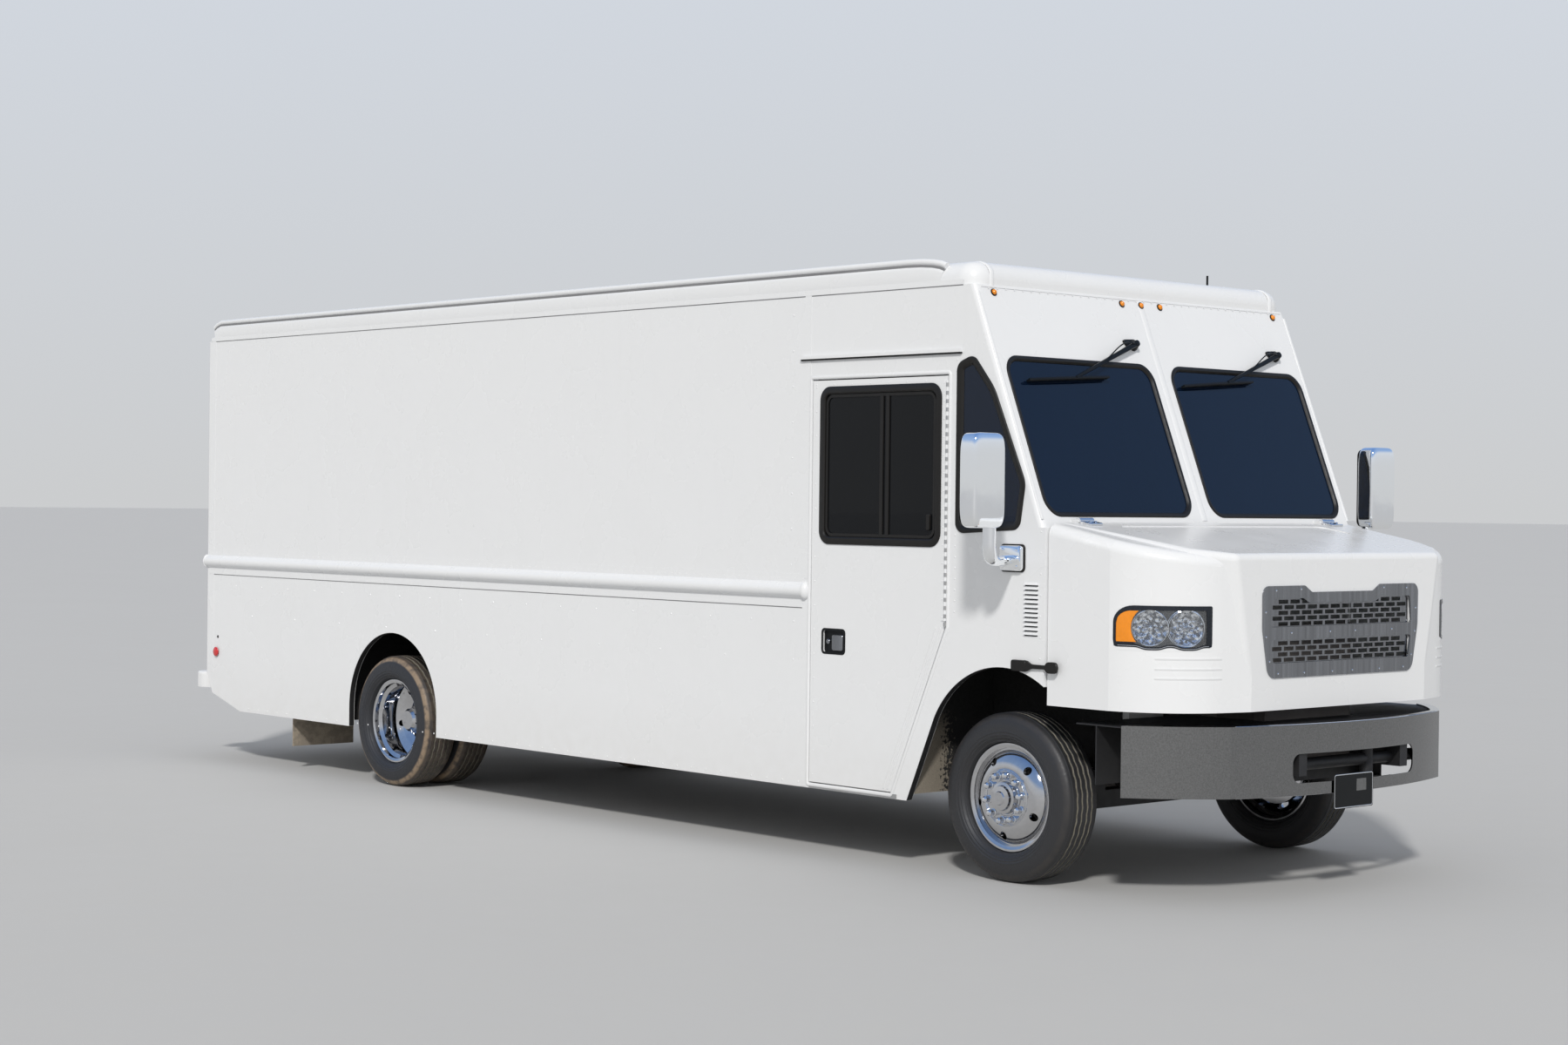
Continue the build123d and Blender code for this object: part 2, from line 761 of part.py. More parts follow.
# Rim section, drawn with y across the wheel and the radius up; mirrored about its middle
half_rim = rim_width / 2
barrel_section = [
    (-half_rim, rim_edge_r),
    (-half_rim + 7, rim_edge_r),
    (-half_rim + 11, tyre_bead_r),
    (-46, tyre_bead_r),
    (-30, tyre_bead_r - 20),
    (30, tyre_bead_r - 20),
    (46, tyre_bead_r),
    (half_rim - 11, tyre_bead_r),
    (half_rim - 7, rim_edge_r),
    (half_rim, rim_edge_r),
    (half_rim, rim_edge_r - 9),
    (half_rim - 7, tyre_bead_r - 9),
    (52, tyre_bead_r - 9),
    (36, tyre_bead_r - 29),
    (-36, tyre_bead_r - 29),
    (-52, tyre_bead_r - 9),
    (-half_rim + 7, tyre_bead_r - 9),
    (-half_rim, rim_edge_r - 9),
]


def section(points, wheel_y, flip=1):
    """Return section points moved to a wheel's place on the right-hand side."""
    return [(-(wheel_y + flip * across), axle_z + up) for across, up in points]


# Front wheel: convex disc, hub with its cap, and a brake disc
hand_holes = 5
hand_hole_turn = 47
hand_hole_r = 20
hand_hole_pcd_r = 188
front_disc_face = [(60, 228), (92, 196), (108, 140)]
front_disc_back = [(98, 140), (82, 190), (52, 220)]
front_hub_section = [
    (108, 140),
    (111, 134),
    (108, 128),
    (108, 80),
    (134, 76),
    (138, 62),
    (150, 58),
    (154, 34),
    (160, 30),
    (160, 0),
    (92, 0),
    (92, spindle_r + bearing_gap),
    (-70, spindle_r + bearing_gap),
    (-70, 70),
    (-44, 70),
    (-44, 175),
    (-12, 175),
    (-12, 70),
    (96, 70),
    (98, 140),
]
with BuildPart() as front_rim_right:
    with BuildSketch(Plane.YZ.offset(front_x)):
        with BuildLine():
            Polyline(*section(barrel_section, front_wheel_y), close=True)
        make_face()
        disc_face = section(front_disc_face, front_wheel_y)
        disc_back = section(front_disc_back, front_wheel_y)
        seat_points = section([(52, 240), (60, 240)], front_wheel_y)
        with BuildLine():
            ThreePointArc(*disc_face)
            Polyline(*section(front_hub_section, front_wheel_y))
            Polyline(*disc_back, *seat_points, disc_face[0])
        make_face()
    revolve(axis=Axis((front_x, 0, axle_z), (0, 1, 0)), revolution_arc=360)
    with BuildSketch(Plane.XZ.offset(front_wheel_y + 60)):
        with Locations((front_x, axle_z)):
            with PolarLocations(hand_hole_pcd_r, hand_holes, start_angle=hand_hole_turn):
                Circle(hand_hole_r)
    extrude(amount=80, mode=Mode.SUBTRACT)
front_rim_left = mirrored(front_rim_right)
save(front_rim_right, "front_rim_right")
save(front_rim_left, "front_rim_left")

# Rear wheels: two rims back to back on one hub, with the brake drum inboard
disc_reach = rear_outer_wheel_y - rear_disc_y
rear_disc_section = [
    (-60, 240),
    (-76, 240),
    (-104, 196),
    (-disc_reach, 150),
    (-disc_reach, 60),
    (-disc_reach + disc_thickness, 60),
    (-disc_reach + disc_thickness, 146),
    (-94, 186),
]
rear_hub_section = [
    (780, rear_spindle_r + bearing_gap),
    (780, 75),
    (720, 75),
    (720, 190),
    (800, 190),
    (800, 90),
    (rear_disc_y + 60, 90),
    (rear_disc_y + 66, 72),
    (1062, 72),
    (1078, 58),
    (1078, 0),
    (1062, 0),
    (1062, rear_spindle_r + bearing_gap),
]
rear_sections = [
    section(barrel_section, rear_outer_wheel_y),
    section(barrel_section, rear_inner_wheel_y),
    section(rear_disc_section, rear_outer_wheel_y),
    section(rear_disc_section, rear_inner_wheel_y, -1),
    section(rear_hub_section, 0),
]
with BuildPart() as rear_rims_right:
    with BuildSketch(Plane.YZ.offset(rear_x)):
        for points in rear_sections:
            with BuildLine():
                Polyline(*points, close=True)
            make_face()
    revolve(axis=Axis((rear_x, 0, axle_z), (0, 1, 0)), revolution_arc=360)
    with BuildSketch(Plane.XZ.offset(rear_inner_wheel_y)):
        with Locations((rear_x, axle_z)):
            with PolarLocations(hand_hole_pcd_r, hand_holes, start_angle=hand_hole_turn):
                Circle(hand_hole_r)
    extrude(amount=rear_outer_wheel_y - rear_inner_wheel_y, mode=Mode.SUBTRACT)
rear_rims_left = mirrored(rear_rims_right)
save(rear_rims_right, "rear_rims_right")
save(rear_rims_left, "rear_rims_left")

# Tyre section, the same drawing as the rim's
half_tyre = tyre_width / 2
tyre_section = [
    (-half_rim + 12, tyre_bead_r + fit_gap),
    (half_rim - 12, tyre_bead_r + fit_gap),
    (half_rim - 12, rim_edge_r + 3),
    (half_tyre - 20, rim_edge_r + 12),
    (half_tyre, 322),
    (half_tyre - 5, 372),
    (half_tyre - 24, 403),
    (half_tyre - 38, tyre_r),
    (-half_tyre + 38, tyre_r),
    (-half_tyre + 24, 403),
    (-half_tyre + 5, 372),
    (-half_tyre, 322),
    (-half_tyre + 20, rim_edge_r + 12),
    (-half_rim + 12, rim_edge_r + 3),
]
# columns: name of the node, x of the axle, centres of its tyres
tyre_sets = [
    ("front_tyre", front_x, [front_wheel_y]),
    ("rear_tyres", rear_x, [rear_outer_wheel_y, rear_inner_wheel_y]),
]
for tyre_name, tyre_x, centres in tyre_sets:
    with BuildPart() as tyre_right:
        with BuildSketch(Plane.YZ.offset(tyre_x)):
            for centre_y in centres:
                with BuildLine():
                    Polyline(*section(tyre_section, centre_y), close=True)
                make_face()
        revolve(axis=Axis((tyre_x, 0, axle_z), (0, 1, 0)), revolution_arc=360)
    save(tyre_right, f"{tyre_name}_right")
    save(mirrored(tyre_right), f"{tyre_name}_left")

# Rear axle: housing tube, differential and spring seats
diff_r = 185
with BuildPart() as rear_axle:
    with BuildSketch(Plane.XZ.offset(-690)):
        with Locations((rear_x, axle_z)):
            Circle(60)
    extrude(amount=1380)
    with BuildSketch(Plane.XZ.offset(-1052)):
        with Locations((rear_x, axle_z)):
            Circle(rear_spindle_r)
    extrude(amount=2104)
    with BuildSketch(Plane.YZ.offset(rear_x - 120)):
        with Locations((0, axle_z)):
            Circle(diff_r)
    extrude(amount=240)
    fillet(rear_axle.edges().filter_by(GeomType.CIRCLE).sort_by(Axis.X)[0], radius=50)
    with BuildSketch(Plane.YZ.offset(rear_x + 100)):
        with Locations((0, shaft_z)):
            Circle(95)
    with BuildSketch(Plane.YZ.offset(diff_nose_x)):
        with Locations((0, shaft_z)):
            Circle(60)
    loft()
    with BuildSketch(Plane.XY.offset(axle_z + 20)):
        with Locations((rear_x, -spring_y), (rear_x, spring_y)):
            Rectangle(110, spring_width)
    extrude(amount=spring_seat_z - axle_z - 20)
save(rear_axle, "rear_axle")

# Fuel tank on the left rail
tank_rear_x = rear_x + 900
tank_length = 1250
tank_width = 520
tank_z = 555
strap_depth = 38
with BuildPart() as fuel_tank:
    with BuildSketch(Plane.XZ.offset(-rail_y - strap_depth)):
        with Locations((tank_rear_x + tank_length / 2, tank_z)):
            Rectangle(tank_length, 320)
    extrude(amount=-tank_width)
    fillet(fuel_tank.edges().filter_by(Axis.X), radius=60)
    with BuildSketch(Plane.XZ.offset(-rail_y)):
        for strap_x in (tank_rear_x + 250, tank_rear_x + tank_length - 250):
            with Locations((strap_x, tank_z + 55)):
                Rectangle(80, 150)
    extrude(amount=-strap_depth)
save(fuel_tank, "fuel_tank")

# Exhaust along the right rail
pipe_r = 36
pipe_z = 470
pipe_y = 600
muffler_x = rear_x + 1800
outlet_x = rear_x + 850
with BuildPart() as exhaust:
    with BuildLine():
        FilletPolyline(
            (front_x - 650, -150, pipe_z),
            (front_x - 650, -pipe_y, pipe_z),
            (outlet_x, -pipe_y, pipe_z),
            (outlet_x, -1080, pipe_z),
            (outlet_x, -1080, 350),
            radius=80,
        )
    with BuildSketch(Plane.XZ.offset(150)):
        with Locations((front_x - 650, pipe_z)):
            Circle(pipe_r)
    sweep()
    with BuildSketch(Plane.YZ.offset(muffler_x - 450)):
        with Locations((-pipe_y, pipe_z)):
            Circle(100)
    extrude(amount=900)
    with BuildSketch(Plane.XZ.offset(rail_y)):
        with Locations((muffler_x - 200, 540), (muffler_x + 200, 540)):
            Rectangle(60, 40)
    extrude(amount=pipe_y - rail_y)
save(exhaust, "exhaust")


# Side door, with its window opening, pull recess and the hinge along its front edge
def window_centre():
    """Return the middle of the side door's window."""
    return (
        (door_window_rear_x + door_window_front_x) / 2,
        (door_window_low_z + door_window_top_z) / 2,
    )


window_width = door_window_front_x - door_window_rear_x
window_height = door_window_top_z - door_window_low_z
hinge_x = door_front_x - move_gap / 2
hinge_y = half_width + hinge_stand
with BuildPart() as door_right:
    with BuildSketch(Plane.XZ.offset(half_width)):
        with BuildLine():
            Polyline(*door_points, close=True)
        make_face()
        offset(amount=-move_gap, kind=Kind.INTERSECTION, mode=Mode.REPLACE)
        with Locations(window_centre()):
            RectangleRounded(window_width, window_height, door_window_corner, mode=Mode.SUBTRACT)
    extrude(amount=-door_thickness)
    with BuildSketch(Plane.XZ.offset(half_width)):
        with Locations((front_x - 1135, 1114)):
            RectangleRounded(160, 115, 14)
    extrude(amount=-14, mode=Mode.SUBTRACT)
    # piano hinge: the leaf on the door and its rolled pin
    with BuildSketch(Plane.XY.offset(door_knee_z + 30)):
        with Locations((hinge_x - 14, -half_width - 2)):
            Rectangle(28, 4)
        with Locations((hinge_x, -hinge_y)):
            Circle(hinge_pin_r)
    extrude(amount=door_top_z - door_knee_z - 60)
door_left = mirrored(door_right)
save(door_right, "door_right")
save(door_left, "door_left")

# Door windows: two sliding panes that meet at a centre bar
with BuildPart() as door_window_right:
    with BuildSketch(Plane.XZ.offset(half_width - 6)):
        with Locations(window_centre()):
            RectangleRounded(
                window_width - 2 * fit_gap, window_height - 2 * fit_gap, door_window_corner - fit_gap
            )
    extrude(amount=-glass_thickness)
door_window_left = mirrored(door_window_right)
save(door_window_right, "door_window_right")
save(door_window_left, "door_window_left")


# Nose: plan of the hood's outer skin, drawn inwards by an inset
def nose_plan(inset):
    """Return the plan of the nose, moved inwards by the inset."""
    side_y = nose_half_width - inset
    front = nose_front_x - inset
    shoulder = (front_x + 965 - 0.7 * inset, nose_shoulder_y - 0.7 * inset)
    cheek = (front - 45, nose_cheek_y - 0.4 * inset)
    with BuildSketch(Plane.XY) as plan:
        with BuildLine():
            Line((nose_rear_x, -side_y), (nose_bend_x, -side_y))
            ThreePointArc(
                (nose_bend_x, -side_y), (shoulder[0], -shoulder[1]), (cheek[0], -cheek[1])
            )
            Line((cheek[0], -cheek[1]), (front, -nose_face_y))
            Line((front, -nose_face_y), (front, nose_face_y))
            Line((front, nose_face_y), cheek)
            ThreePointArc(cheek, shoulder, (nose_bend_x, side_y))
            Line((nose_bend_x, side_y), (nose_rear_x, side_y))
            Line((nose_rear_x, side_y), (nose_rear_x, -side_y))
        make_face()
    return plan.sketch_local


nose_length = nose_front_x - nose_rear_x
nose_edge_r = 55
middle_edge_r = 34
middle_corner_r = 45
cheek_rear_drop = 4
cheek_front_drop = 20


def above_nose(rear_z, front_z):
    """Return the space above a plane that falls from the cowl to the front of the nose."""
    rise = (rear_z - front_z) / nose_length
    with BuildPart() as space:
        with BuildSketch(Plane.XZ.offset(half_width)):
            with BuildLine():
                Polyline(
                    (nose_rear_x - 100, rear_z + 100 * rise),
                    (nose_front_x + 300, front_z - 300 * rise),
                    (nose_front_x + 300, nose_rear_z + 500),
                    (nose_rear_x - 100, nose_rear_z + 500),
                    close=True,
                )
            make_face()
        extrude(amount=-2 * half_width)
    return space.part


def nose_cheeks(inset):
    """Return the wide body of the nose, its skin moved inwards by the inset."""
    with BuildPart() as block:
        with BuildSketch(Plane.XY.offset(nose_bottom_z)):
            add(nose_plan(inset))
        extrude(amount=nose_rear_z + 400 - nose_bottom_z)
        add(
            above_nose(
                nose_rear_z - cheek_rear_drop - inset, nose_front_z - cheek_front_drop - inset
            ),
            mode=Mode.SUBTRACT,
        )
        rim_edges = block.faces().sort_by(Axis.Z)[-1].edges().sort_by(Axis.X)[1:]
        fillet(rim_edges, radius=nose_edge_r - inset)
    return block.part


def nose_middle(inset):
    """Return the raised middle of the nose, which narrows towards its foot."""
    # columns: x, half width at the foot, half width at the top
    stations = [
        (nose_rear_x, nose_face_y + 50, nose_half_width - 50),
        (front_x + 985, nose_face_y + 10, nose_shoulder_y - 2),
        (nose_front_x - inset, nose_face_y, nose_cheek_y - 30),
    ]
    with BuildPart() as block:
        for plan_z, column in ((nose_bottom_z, 1), (nose_rear_z + 30, 2)):
            half = [(station[0], station[column] - inset) for station in stations]
            with BuildSketch(Plane.XY.offset(plan_z)):
                with BuildLine():
                    Polyline(*half, *[(x, -y) for x, y in reversed(half)], close=True)
                make_face()
        loft(ruled=True)
        add(above_nose(nose_rear_z - inset, nose_front_z - inset), mode=Mode.SUBTRACT)
        front_edges = block.faces().sort_by(Axis.X)[-1].edges().sort_by(Axis.Y)
        fillet([front_edges[0], front_edges[-1]], radius=middle_corner_r)
        rim_edges = block.faces().sort_by(Axis.Z)[-1].edges().sort_by(Axis.X)[1:]
        fillet(rim_edges, radius=middle_edge_r - inset)
    return block.part


pocket_length = 215
pocket_width = 2 * nose_half_width - 780
pocket_x = nose_rear_x + 185
pocket_depth = 5
pocket_z = nose_rear_z - (pocket_x - nose_rear_x) * (nose_rear_z - nose_front_z) / nose_length
grille_half_width = nose_face_y - 70
grille_low_z = 1032
grille_top_z = 1462
grille_hole_y = grille_half_width - 60
grille_hole_low_z = 1072
grille_hole_top_z = 1422
lamp_low_z = 1170
lamp_high_z = 1357
lamp_rear_x = front_x + 745
pocket_plane = Plane(
    origin=(pocket_x, 0, pocket_z),
    x_dir=(nose_length, 0, nose_front_z - nose_rear_z),
    z_dir=(nose_rear_z - nose_front_z, 0, nose_length),
)
with BuildPart() as hood:
    add(nose_cheeks(0))
    add(nose_middle(0))
    add(nose_cheeks(nose_wall), mode=Mode.SUBTRACT)
    add(nose_middle(nose_wall), mode=Mode.SUBTRACT)
    # shallow pocket in front of the cowl
    with BuildSketch(pocket_plane):
        RectangleRounded(pocket_length, pocket_width, 60)
    extrude(amount=-pocket_depth, mode=Mode.SUBTRACT)
    # hole behind the grille
    with BuildSketch(Plane.YZ.offset(nose_front_x - 100)):
        with Locations((0, (grille_hole_low_z + grille_hole_top_z) / 2)):
            RectangleRounded(2 * grille_hole_y, grille_hole_top_z - grille_hole_low_z, 50)
    extrude(amount=200, mode=Mode.SUBTRACT)
    # notches in the rear edge, with a hinge barrel in each
    notch_length = hood_hinge_x + hood_notch_reach - nose_rear_x
    with BuildSketch(Plane.XY.offset(nose_rear_z - 100)):
        with Locations(
            (nose_rear_x + notch_length / 2, hood_hinge_y),
            (nose_rear_x + notch_length / 2, -hood_hinge_y),
        ):
            Rectangle(notch_length, hood_barrel_length + 2 * (hood_ear + move_gap))
    extrude(amount=200, mode=Mode.SUBTRACT)
    for side in (-1, 1):
        with BuildSketch(Plane.XZ.offset(side * hood_hinge_y - hood_barrel_length / 2)):
            with Locations((hood_hinge_x, hood_hinge_z)):
                Circle(hood_hinge_r)
            with Locations((hood_hinge_x + hood_notch_reach, hood_hinge_z - 5)):
                Rectangle(2 * hood_notch_reach, 8)
            with Locations((hood_hinge_x, hood_hinge_z)):
                Circle(hood_pin_r + pin_gap, mode=Mode.SUBTRACT)
        extrude(amount=hood_barrel_length)

# Grille: a flat frame with a notched top edge, and a panel of slots in brick order behind it
grille_plate = 6
grille_set_back = 10
slot_panel = 3
slot_length = 72
slot_height = 19
slot_pitch = 90
slot_row_pitch = 26
grille_bar_low_z = 1210
grille_bar_high_z = 1270
window_half_width = grille_half_width - 58
grille_outline = [
    (245, 1430),
    (300, grille_top_z),
    (grille_half_width, grille_top_z),
    (grille_half_width - 2, 1260),
    (grille_half_width - 48, grille_low_z),
]
upper_window = [
    (262, 1379),
    (312, 1402),
    (window_half_width - 14, 1402),
    (window_half_width, grille_bar_high_z),
]
lower_window = [
    (window_half_width - 4, grille_bar_low_z),
    (window_half_width - 24, 1101),
]


def both_sides(half):
    """Return a half outline followed by its mirror image."""
    return half + [(-y, z) for y, z in reversed(half)]


with BuildPart() as grille:
    with BuildSketch(Plane.YZ.offset(nose_front_x)):
        with BuildLine():
            FilletPolyline(
                *both_sides(grille_outline),
                radius=[22, 22, 44, 90, 58, 58, 90, 44, 22, 22],
                close=True,
            )
        make_face()
        for window_points in (upper_window, lower_window):
            with BuildLine():
                FilletPolyline(*both_sides(window_points), radius=14, close=True)
            make_face(mode=Mode.SUBTRACT)
    extrude(amount=grille_plate)
    with BuildSketch(Plane.YZ.offset(nose_front_x - grille_set_back)):
        with Locations((0, (grille_hole_low_z + grille_hole_top_z) / 2)):
            RectangleRounded(
                2 * grille_hole_y - 30, grille_hole_top_z - grille_hole_low_z - 12, 30
            )
        # columns: height of the middle row, slots in a row, rows two pitches apart
        slot_rows = [(1335, 11, 3), (1335, 12, 2), (1141, 12, 2), (1167, 11, 2)]
        for row_z, columns, rows in slot_rows:
            with Locations((0, row_z)):
                with GridLocations(slot_pitch, 2 * slot_row_pitch, columns, rows):
                    Rectangle(slot_length, slot_height, mode=Mode.SUBTRACT)
    extrude(amount=slot_panel)
    # spacer between the middle bar and the panel
    with BuildSketch(Plane.YZ.offset(nose_front_x - grille_set_back + slot_panel)):
        with Locations((0, (grille_bar_low_z + grille_bar_high_z) / 2)):
            Rectangle(2 * grille_hole_y - 60, 30)
    extrude(amount=grille_set_back - slot_panel)
save(grille, "grille")

# Headlamps, curved round the corners of the nose
lamp_chord = 430
lamp_angle = 41.3
lamp_middle = (front_x + 906, nose_half_width - 146)
lamp_proud = 3
lamp_depth = 40
lamp_mid_z = (lamp_low_z + lamp_high_z) / 2
lamp_height = lamp_high_z - lamp_low_z
with BuildPart() as lamp_hole:
    with Locations(Location((lamp_middle[0], -lamp_middle[1], lamp_mid_z), (0, 0, lamp_angle))):
        Box(lamp_chord, 220, lamp_height)
    mirror(about=Plane.XZ)
with BuildPart() as headlamps:
    with BuildSketch(Plane.XY.offset(lamp_low_z)):
        add(nose_plan(-lamp_proud))
        add(nose_plan(lamp_depth), mode=Mode.SUBTRACT)
    extrude(amount=lamp_height)
    with Locations(Location((lamp_middle[0], -lamp_middle[1], lamp_mid_z), (0, 0, lamp_angle))):
        lamp_zone = Box(
            lamp_chord - 2 * fit_gap, 200, lamp_height - 2 * fit_gap, mode=Mode.PRIVATE
        )
    add([lamp_zone, lamp_zone.mirror(Plane.XZ)], mode=Mode.INTERSECT)
save(headlamps, "headlamps")
with BuildPart() as hood_cut:
    add(hood.part)
    add(lamp_hole.part, mode=Mode.SUBTRACT)
save(hood_cut, "hood")

# Front bumper: a bowed plate with returned edges and a slot in its middle
def bumper_plan(inset):
    """Return the plan of the bumper, moved inwards by the inset."""
    end = (bumper_end[0], bumper_end[1] - 1.45 * inset)
    cheek = (bumper_cheek[0] - 0.73 * inset, bumper_cheek[1] - 0.68 * inset)
    corner = (bumper_corner[0] - 0.9 * inset, bumper_corner[1] - 0.45 * inset)
    with BuildSketch(Plane.XY) as plan:
        with BuildLine():
            ThreePointArc((end[0], -end[1]), (cheek[0], -cheek[1]), (corner[0], -corner[1]))
            ThreePointArc(
                (corner[0], -corner[1]), (bumper_front_x - inset, 0), (corner[0], corner[1])
            )
            ThreePointArc(corner, cheek, end)
            Line(end, (end[0], -end[1]))
        make_face()
    return plan.sketch_local


bumper_flange = 45
with BuildPart() as front_bumper:
    with BuildSketch(Plane.XY.offset(bumper_low_z)):
        add(bumper_plan(0))
        add(bumper_plan(bumper_plate), mode=Mode.SUBTRACT)
    extrude(amount=bumper_top_z - bumper_low_z)
    for flange_z in (bumper_low_z, bumper_top_z - bumper_plate):
        with BuildSketch(Plane.XY.offset(flange_z)):
            add(bumper_plan(0))
            add(bumper_plan(bumper_flange), mode=Mode.SUBTRACT)
        extrude(amount=bumper_plate)
    with BuildSketch(Plane.YZ.offset(bumper_front_x - 150)):
        with Locations((0, 613)):
            RectangleRounded(958, 137, 45)
    extrude(amount=200, mode=Mode.SUBTRACT)
save(front_bumper, "front_bumper")

# Apron under the bumper's top edge, open round the radiator, with a splash wall on each side
apron_thickness = 6
apron_rear_x = front_x + 480
apron_half_width = nose_half_width - 30
apron_top_z = bumper_top_z - bumper_plate - fit_gap
apron_notch_x = front_x + 945
apron_notch_y = 360
splash_x = front_x + 600
splash_low_z = 530
splash_inner_y = 560
with BuildPart() as front_apron:
    with BuildSketch(Plane.XY.offset(apron_top_z)):
        add(bumper_plan(bumper_plate + fit_gap))
        with Locations(((apron_rear_x + bumper_end[0]) / 2, 0)):
            Rectangle(bumper_end[0] - apron_rear_x, 2 * apron_half_width)
        with Locations(((apron_rear_x + apron_notch_x) / 2, 0)):
            Rectangle(apron_notch_x - apron_rear_x, 2 * apron_notch_y, mode=Mode.SUBTRACT)
    extrude(amount=-apron_thickness)
    for side in (-1, 1):
        with BuildSketch(Plane.YZ.offset(splash_x)):
            with Locations(
                (side * (splash_inner_y + apron_half_width) / 2, (splash_low_z + apron_top_z) / 2)
            ):
                Rectangle(apron_half_width - splash_inner_y, apron_top_z - splash_low_z)
        extrude(amount=apron_thickness)
save(front_apron, "front_apron")

# Rear frame of the body, with the doorway and its sill
rear_door_y = half_width - 89
rear_door_top_z = 2780
with BuildPart() as rear_frame:
    with BuildSketch(Plane.YZ.offset(body_rear_x)):
        with Locations((0, (tail_notch_z + cap_z) / 2)):
            Rectangle(2 * half_width, cap_z - tail_notch_z)
        with Locations((0, (floor_z + rear_door_top_z) / 2)):
            Rectangle(2 * rear_door_y, rear_door_top_z - floor_z, mode=Mode.SUBTRACT)
    extrude(amount=wall)
    rear_edges = rear_frame.edges().filter_by(Axis.Z).group_by(Axis.X)[0].sort_by(Axis.Y)
    fillet([rear_edges[0], rear_edges[-1]], radius=25)
save(rear_frame, "rear_frame")

# Rear doors, hinged at the corner posts, with a latch rod on each
rear_hinge_x = body_rear_x - hinge_stand
rear_hinge_y = rear_door_y - move_gap / 2
with BuildPart() as rear_door_right:
    with BuildSketch(Plane.YZ.offset(body_rear_x)):
        with Locations((-(rear_door_y - move_gap / 2) / 2, (floor_z + rear_door_top_z) / 2)):
            Rectangle(rear_door_y - 1.5 * move_gap, rear_door_top_z - floor_z - 2 * move_gap)
    extrude(amount=door_thickness)
    with BuildSketch(Plane.XY.offset(floor_z + 60)):
        with Locations((rear_hinge_x, -rear_hinge_y)):
            Circle(hinge_pin_r)
        with Locations((body_rear_x - 2, -rear_hinge_y + 20)):
            Rectangle(4, 40)
        with Locations((body_rear_x - 8, -120)):
            Circle(10)
    extrude(amount=rear_door_top_z - floor_z - 120)
rear_door_left = mirrored(rear_door_right)
save(rear_door_right, "rear_door_right")
save(rear_door_left, "rear_door_left")

# Rear step bumper
with BuildPart() as rear_bumper:
    with BuildSketch(Plane.XY.offset(rear_bumper_low_z)):
        with Locations(((rear_bumper_front_x - overall_length / 2) / 2, 0)):
            RectangleRounded(rear_bumper_front_x + overall_length / 2, 2 * half_width - 60, 80)
    extrude(amount=rear_bumper_top_z - rear_bumper_low_z)
    fillet(rear_bumper.faces().sort_by(Axis.Z)[-1].edges(), radius=18)
save(rear_bumper, "rear_bumper")

# Mirrors on bent arms
mirror_head = (front_x + 221, half_width + 333, 1938)
mirror_width = 215
mirror_depth = 90
mirror_height = 445
mirror_neck = (front_x + 205, half_width + 266)
arm_r = 15
with BuildPart() as mirrors:
    with BuildSketch(Plane.XZ.offset(half_width)):
        with Locations((front_x + 112, 1568)):
            RectangleRounded(150, 130, 20)
    extrude(amount=18)
    with BuildLine():
        arm_path = FilletPolyline(
            (front_x + 112, -half_width - 10, 1568),
            (mirror_neck[0], -mirror_neck[1], 1555),
            (mirror_neck[0], -mirror_neck[1], 1740),
            radius=60,
        )
    with BuildSketch(Plane(origin=arm_path @ 0, z_dir=arm_path % 0)):
        Circle(arm_r)
    sweep()
    with BuildSketch(Plane.YZ.offset(mirror_head[0] - mirror_depth / 2)):
        with Locations((-mirror_head[1], mirror_head[2])):
            RectangleRounded(mirror_width, mirror_height, 40)
    extrude(amount=mirror_depth)
    fillet(mirrors.faces().sort_by(Axis.X)[-1].edges(), radius=30)
    mirror(about=Plane.XZ)
save(mirrors, "mirrors")

# Wipers hung from above the windscreens; both park to the van's right
# columns: y and z of the pivot, of the arm's end, of the blade's two ends
wiper_sets = [
    ((-163, 2641), (-700, 2447), (-1042, 2426), (-442, 2462)),
    ((1006, 2636), (500, 2469), (131, 2440), (725, 2484)),
]


def strip(start, end, start_width, end_width):
    """Return a tapered strip between two points of the raked face."""
    a = (start[0], up_slope(start[1]))
    b = (end[0], up_slope(end[1]))
    length = hypot(b[0] - a[0], b[1] - a[1])
    across = (-(b[1] - a[1]) / length, (b[0] - a[0]) / length)
    return [
        (a[0] + across[0] * start_width / 2, a[1] + across[1] * start_width / 2),
        (a[0] - across[0] * start_width / 2, a[1] - across[1] * start_width / 2),
        (b[0] - across[0] * end_width / 2, b[1] - across[1] * end_width / 2),
        (b[0] + across[0] * end_width / 2, b[1] + across[1] * end_width / 2),
    ]


with BuildPart() as wipers:
    for pivot, arm_end, blade_start, blade_end in wiper_sets:
        with BuildSketch(face_plane):
            with Locations((pivot[0], up_slope(pivot[1]))):
                Circle(30)
        extrude(amount=38)
        with BuildSketch(face_plane.offset(18)):
            with BuildLine():
                Polyline(*strip(pivot, arm_end, 34, 16), close=True)
            make_face()
        extrude(amount=14)
        with BuildSketch(face_plane.offset(-8 + fit_gap)):
            with BuildLine():
                Polyline(*strip(blade_start, blade_end, 14, 14), close=True)
            make_face()
        extrude(amount=28)
save(wipers, "wipers")

# Amber lamps in a row above the windscreens
lamp_row_z = 2859
lamp_row_y = [-half_width + 119, -150, 0, 150, half_width - 119]
with BuildPart() as amber_lamps:
    with BuildSketch(face_plane):
        with Locations(*[(y, up_slope(lamp_row_z)) for y in lamp_row_y]):
            Circle(17)
    extrude(amount=14)
save(amber_lamps, "amber_lamps")

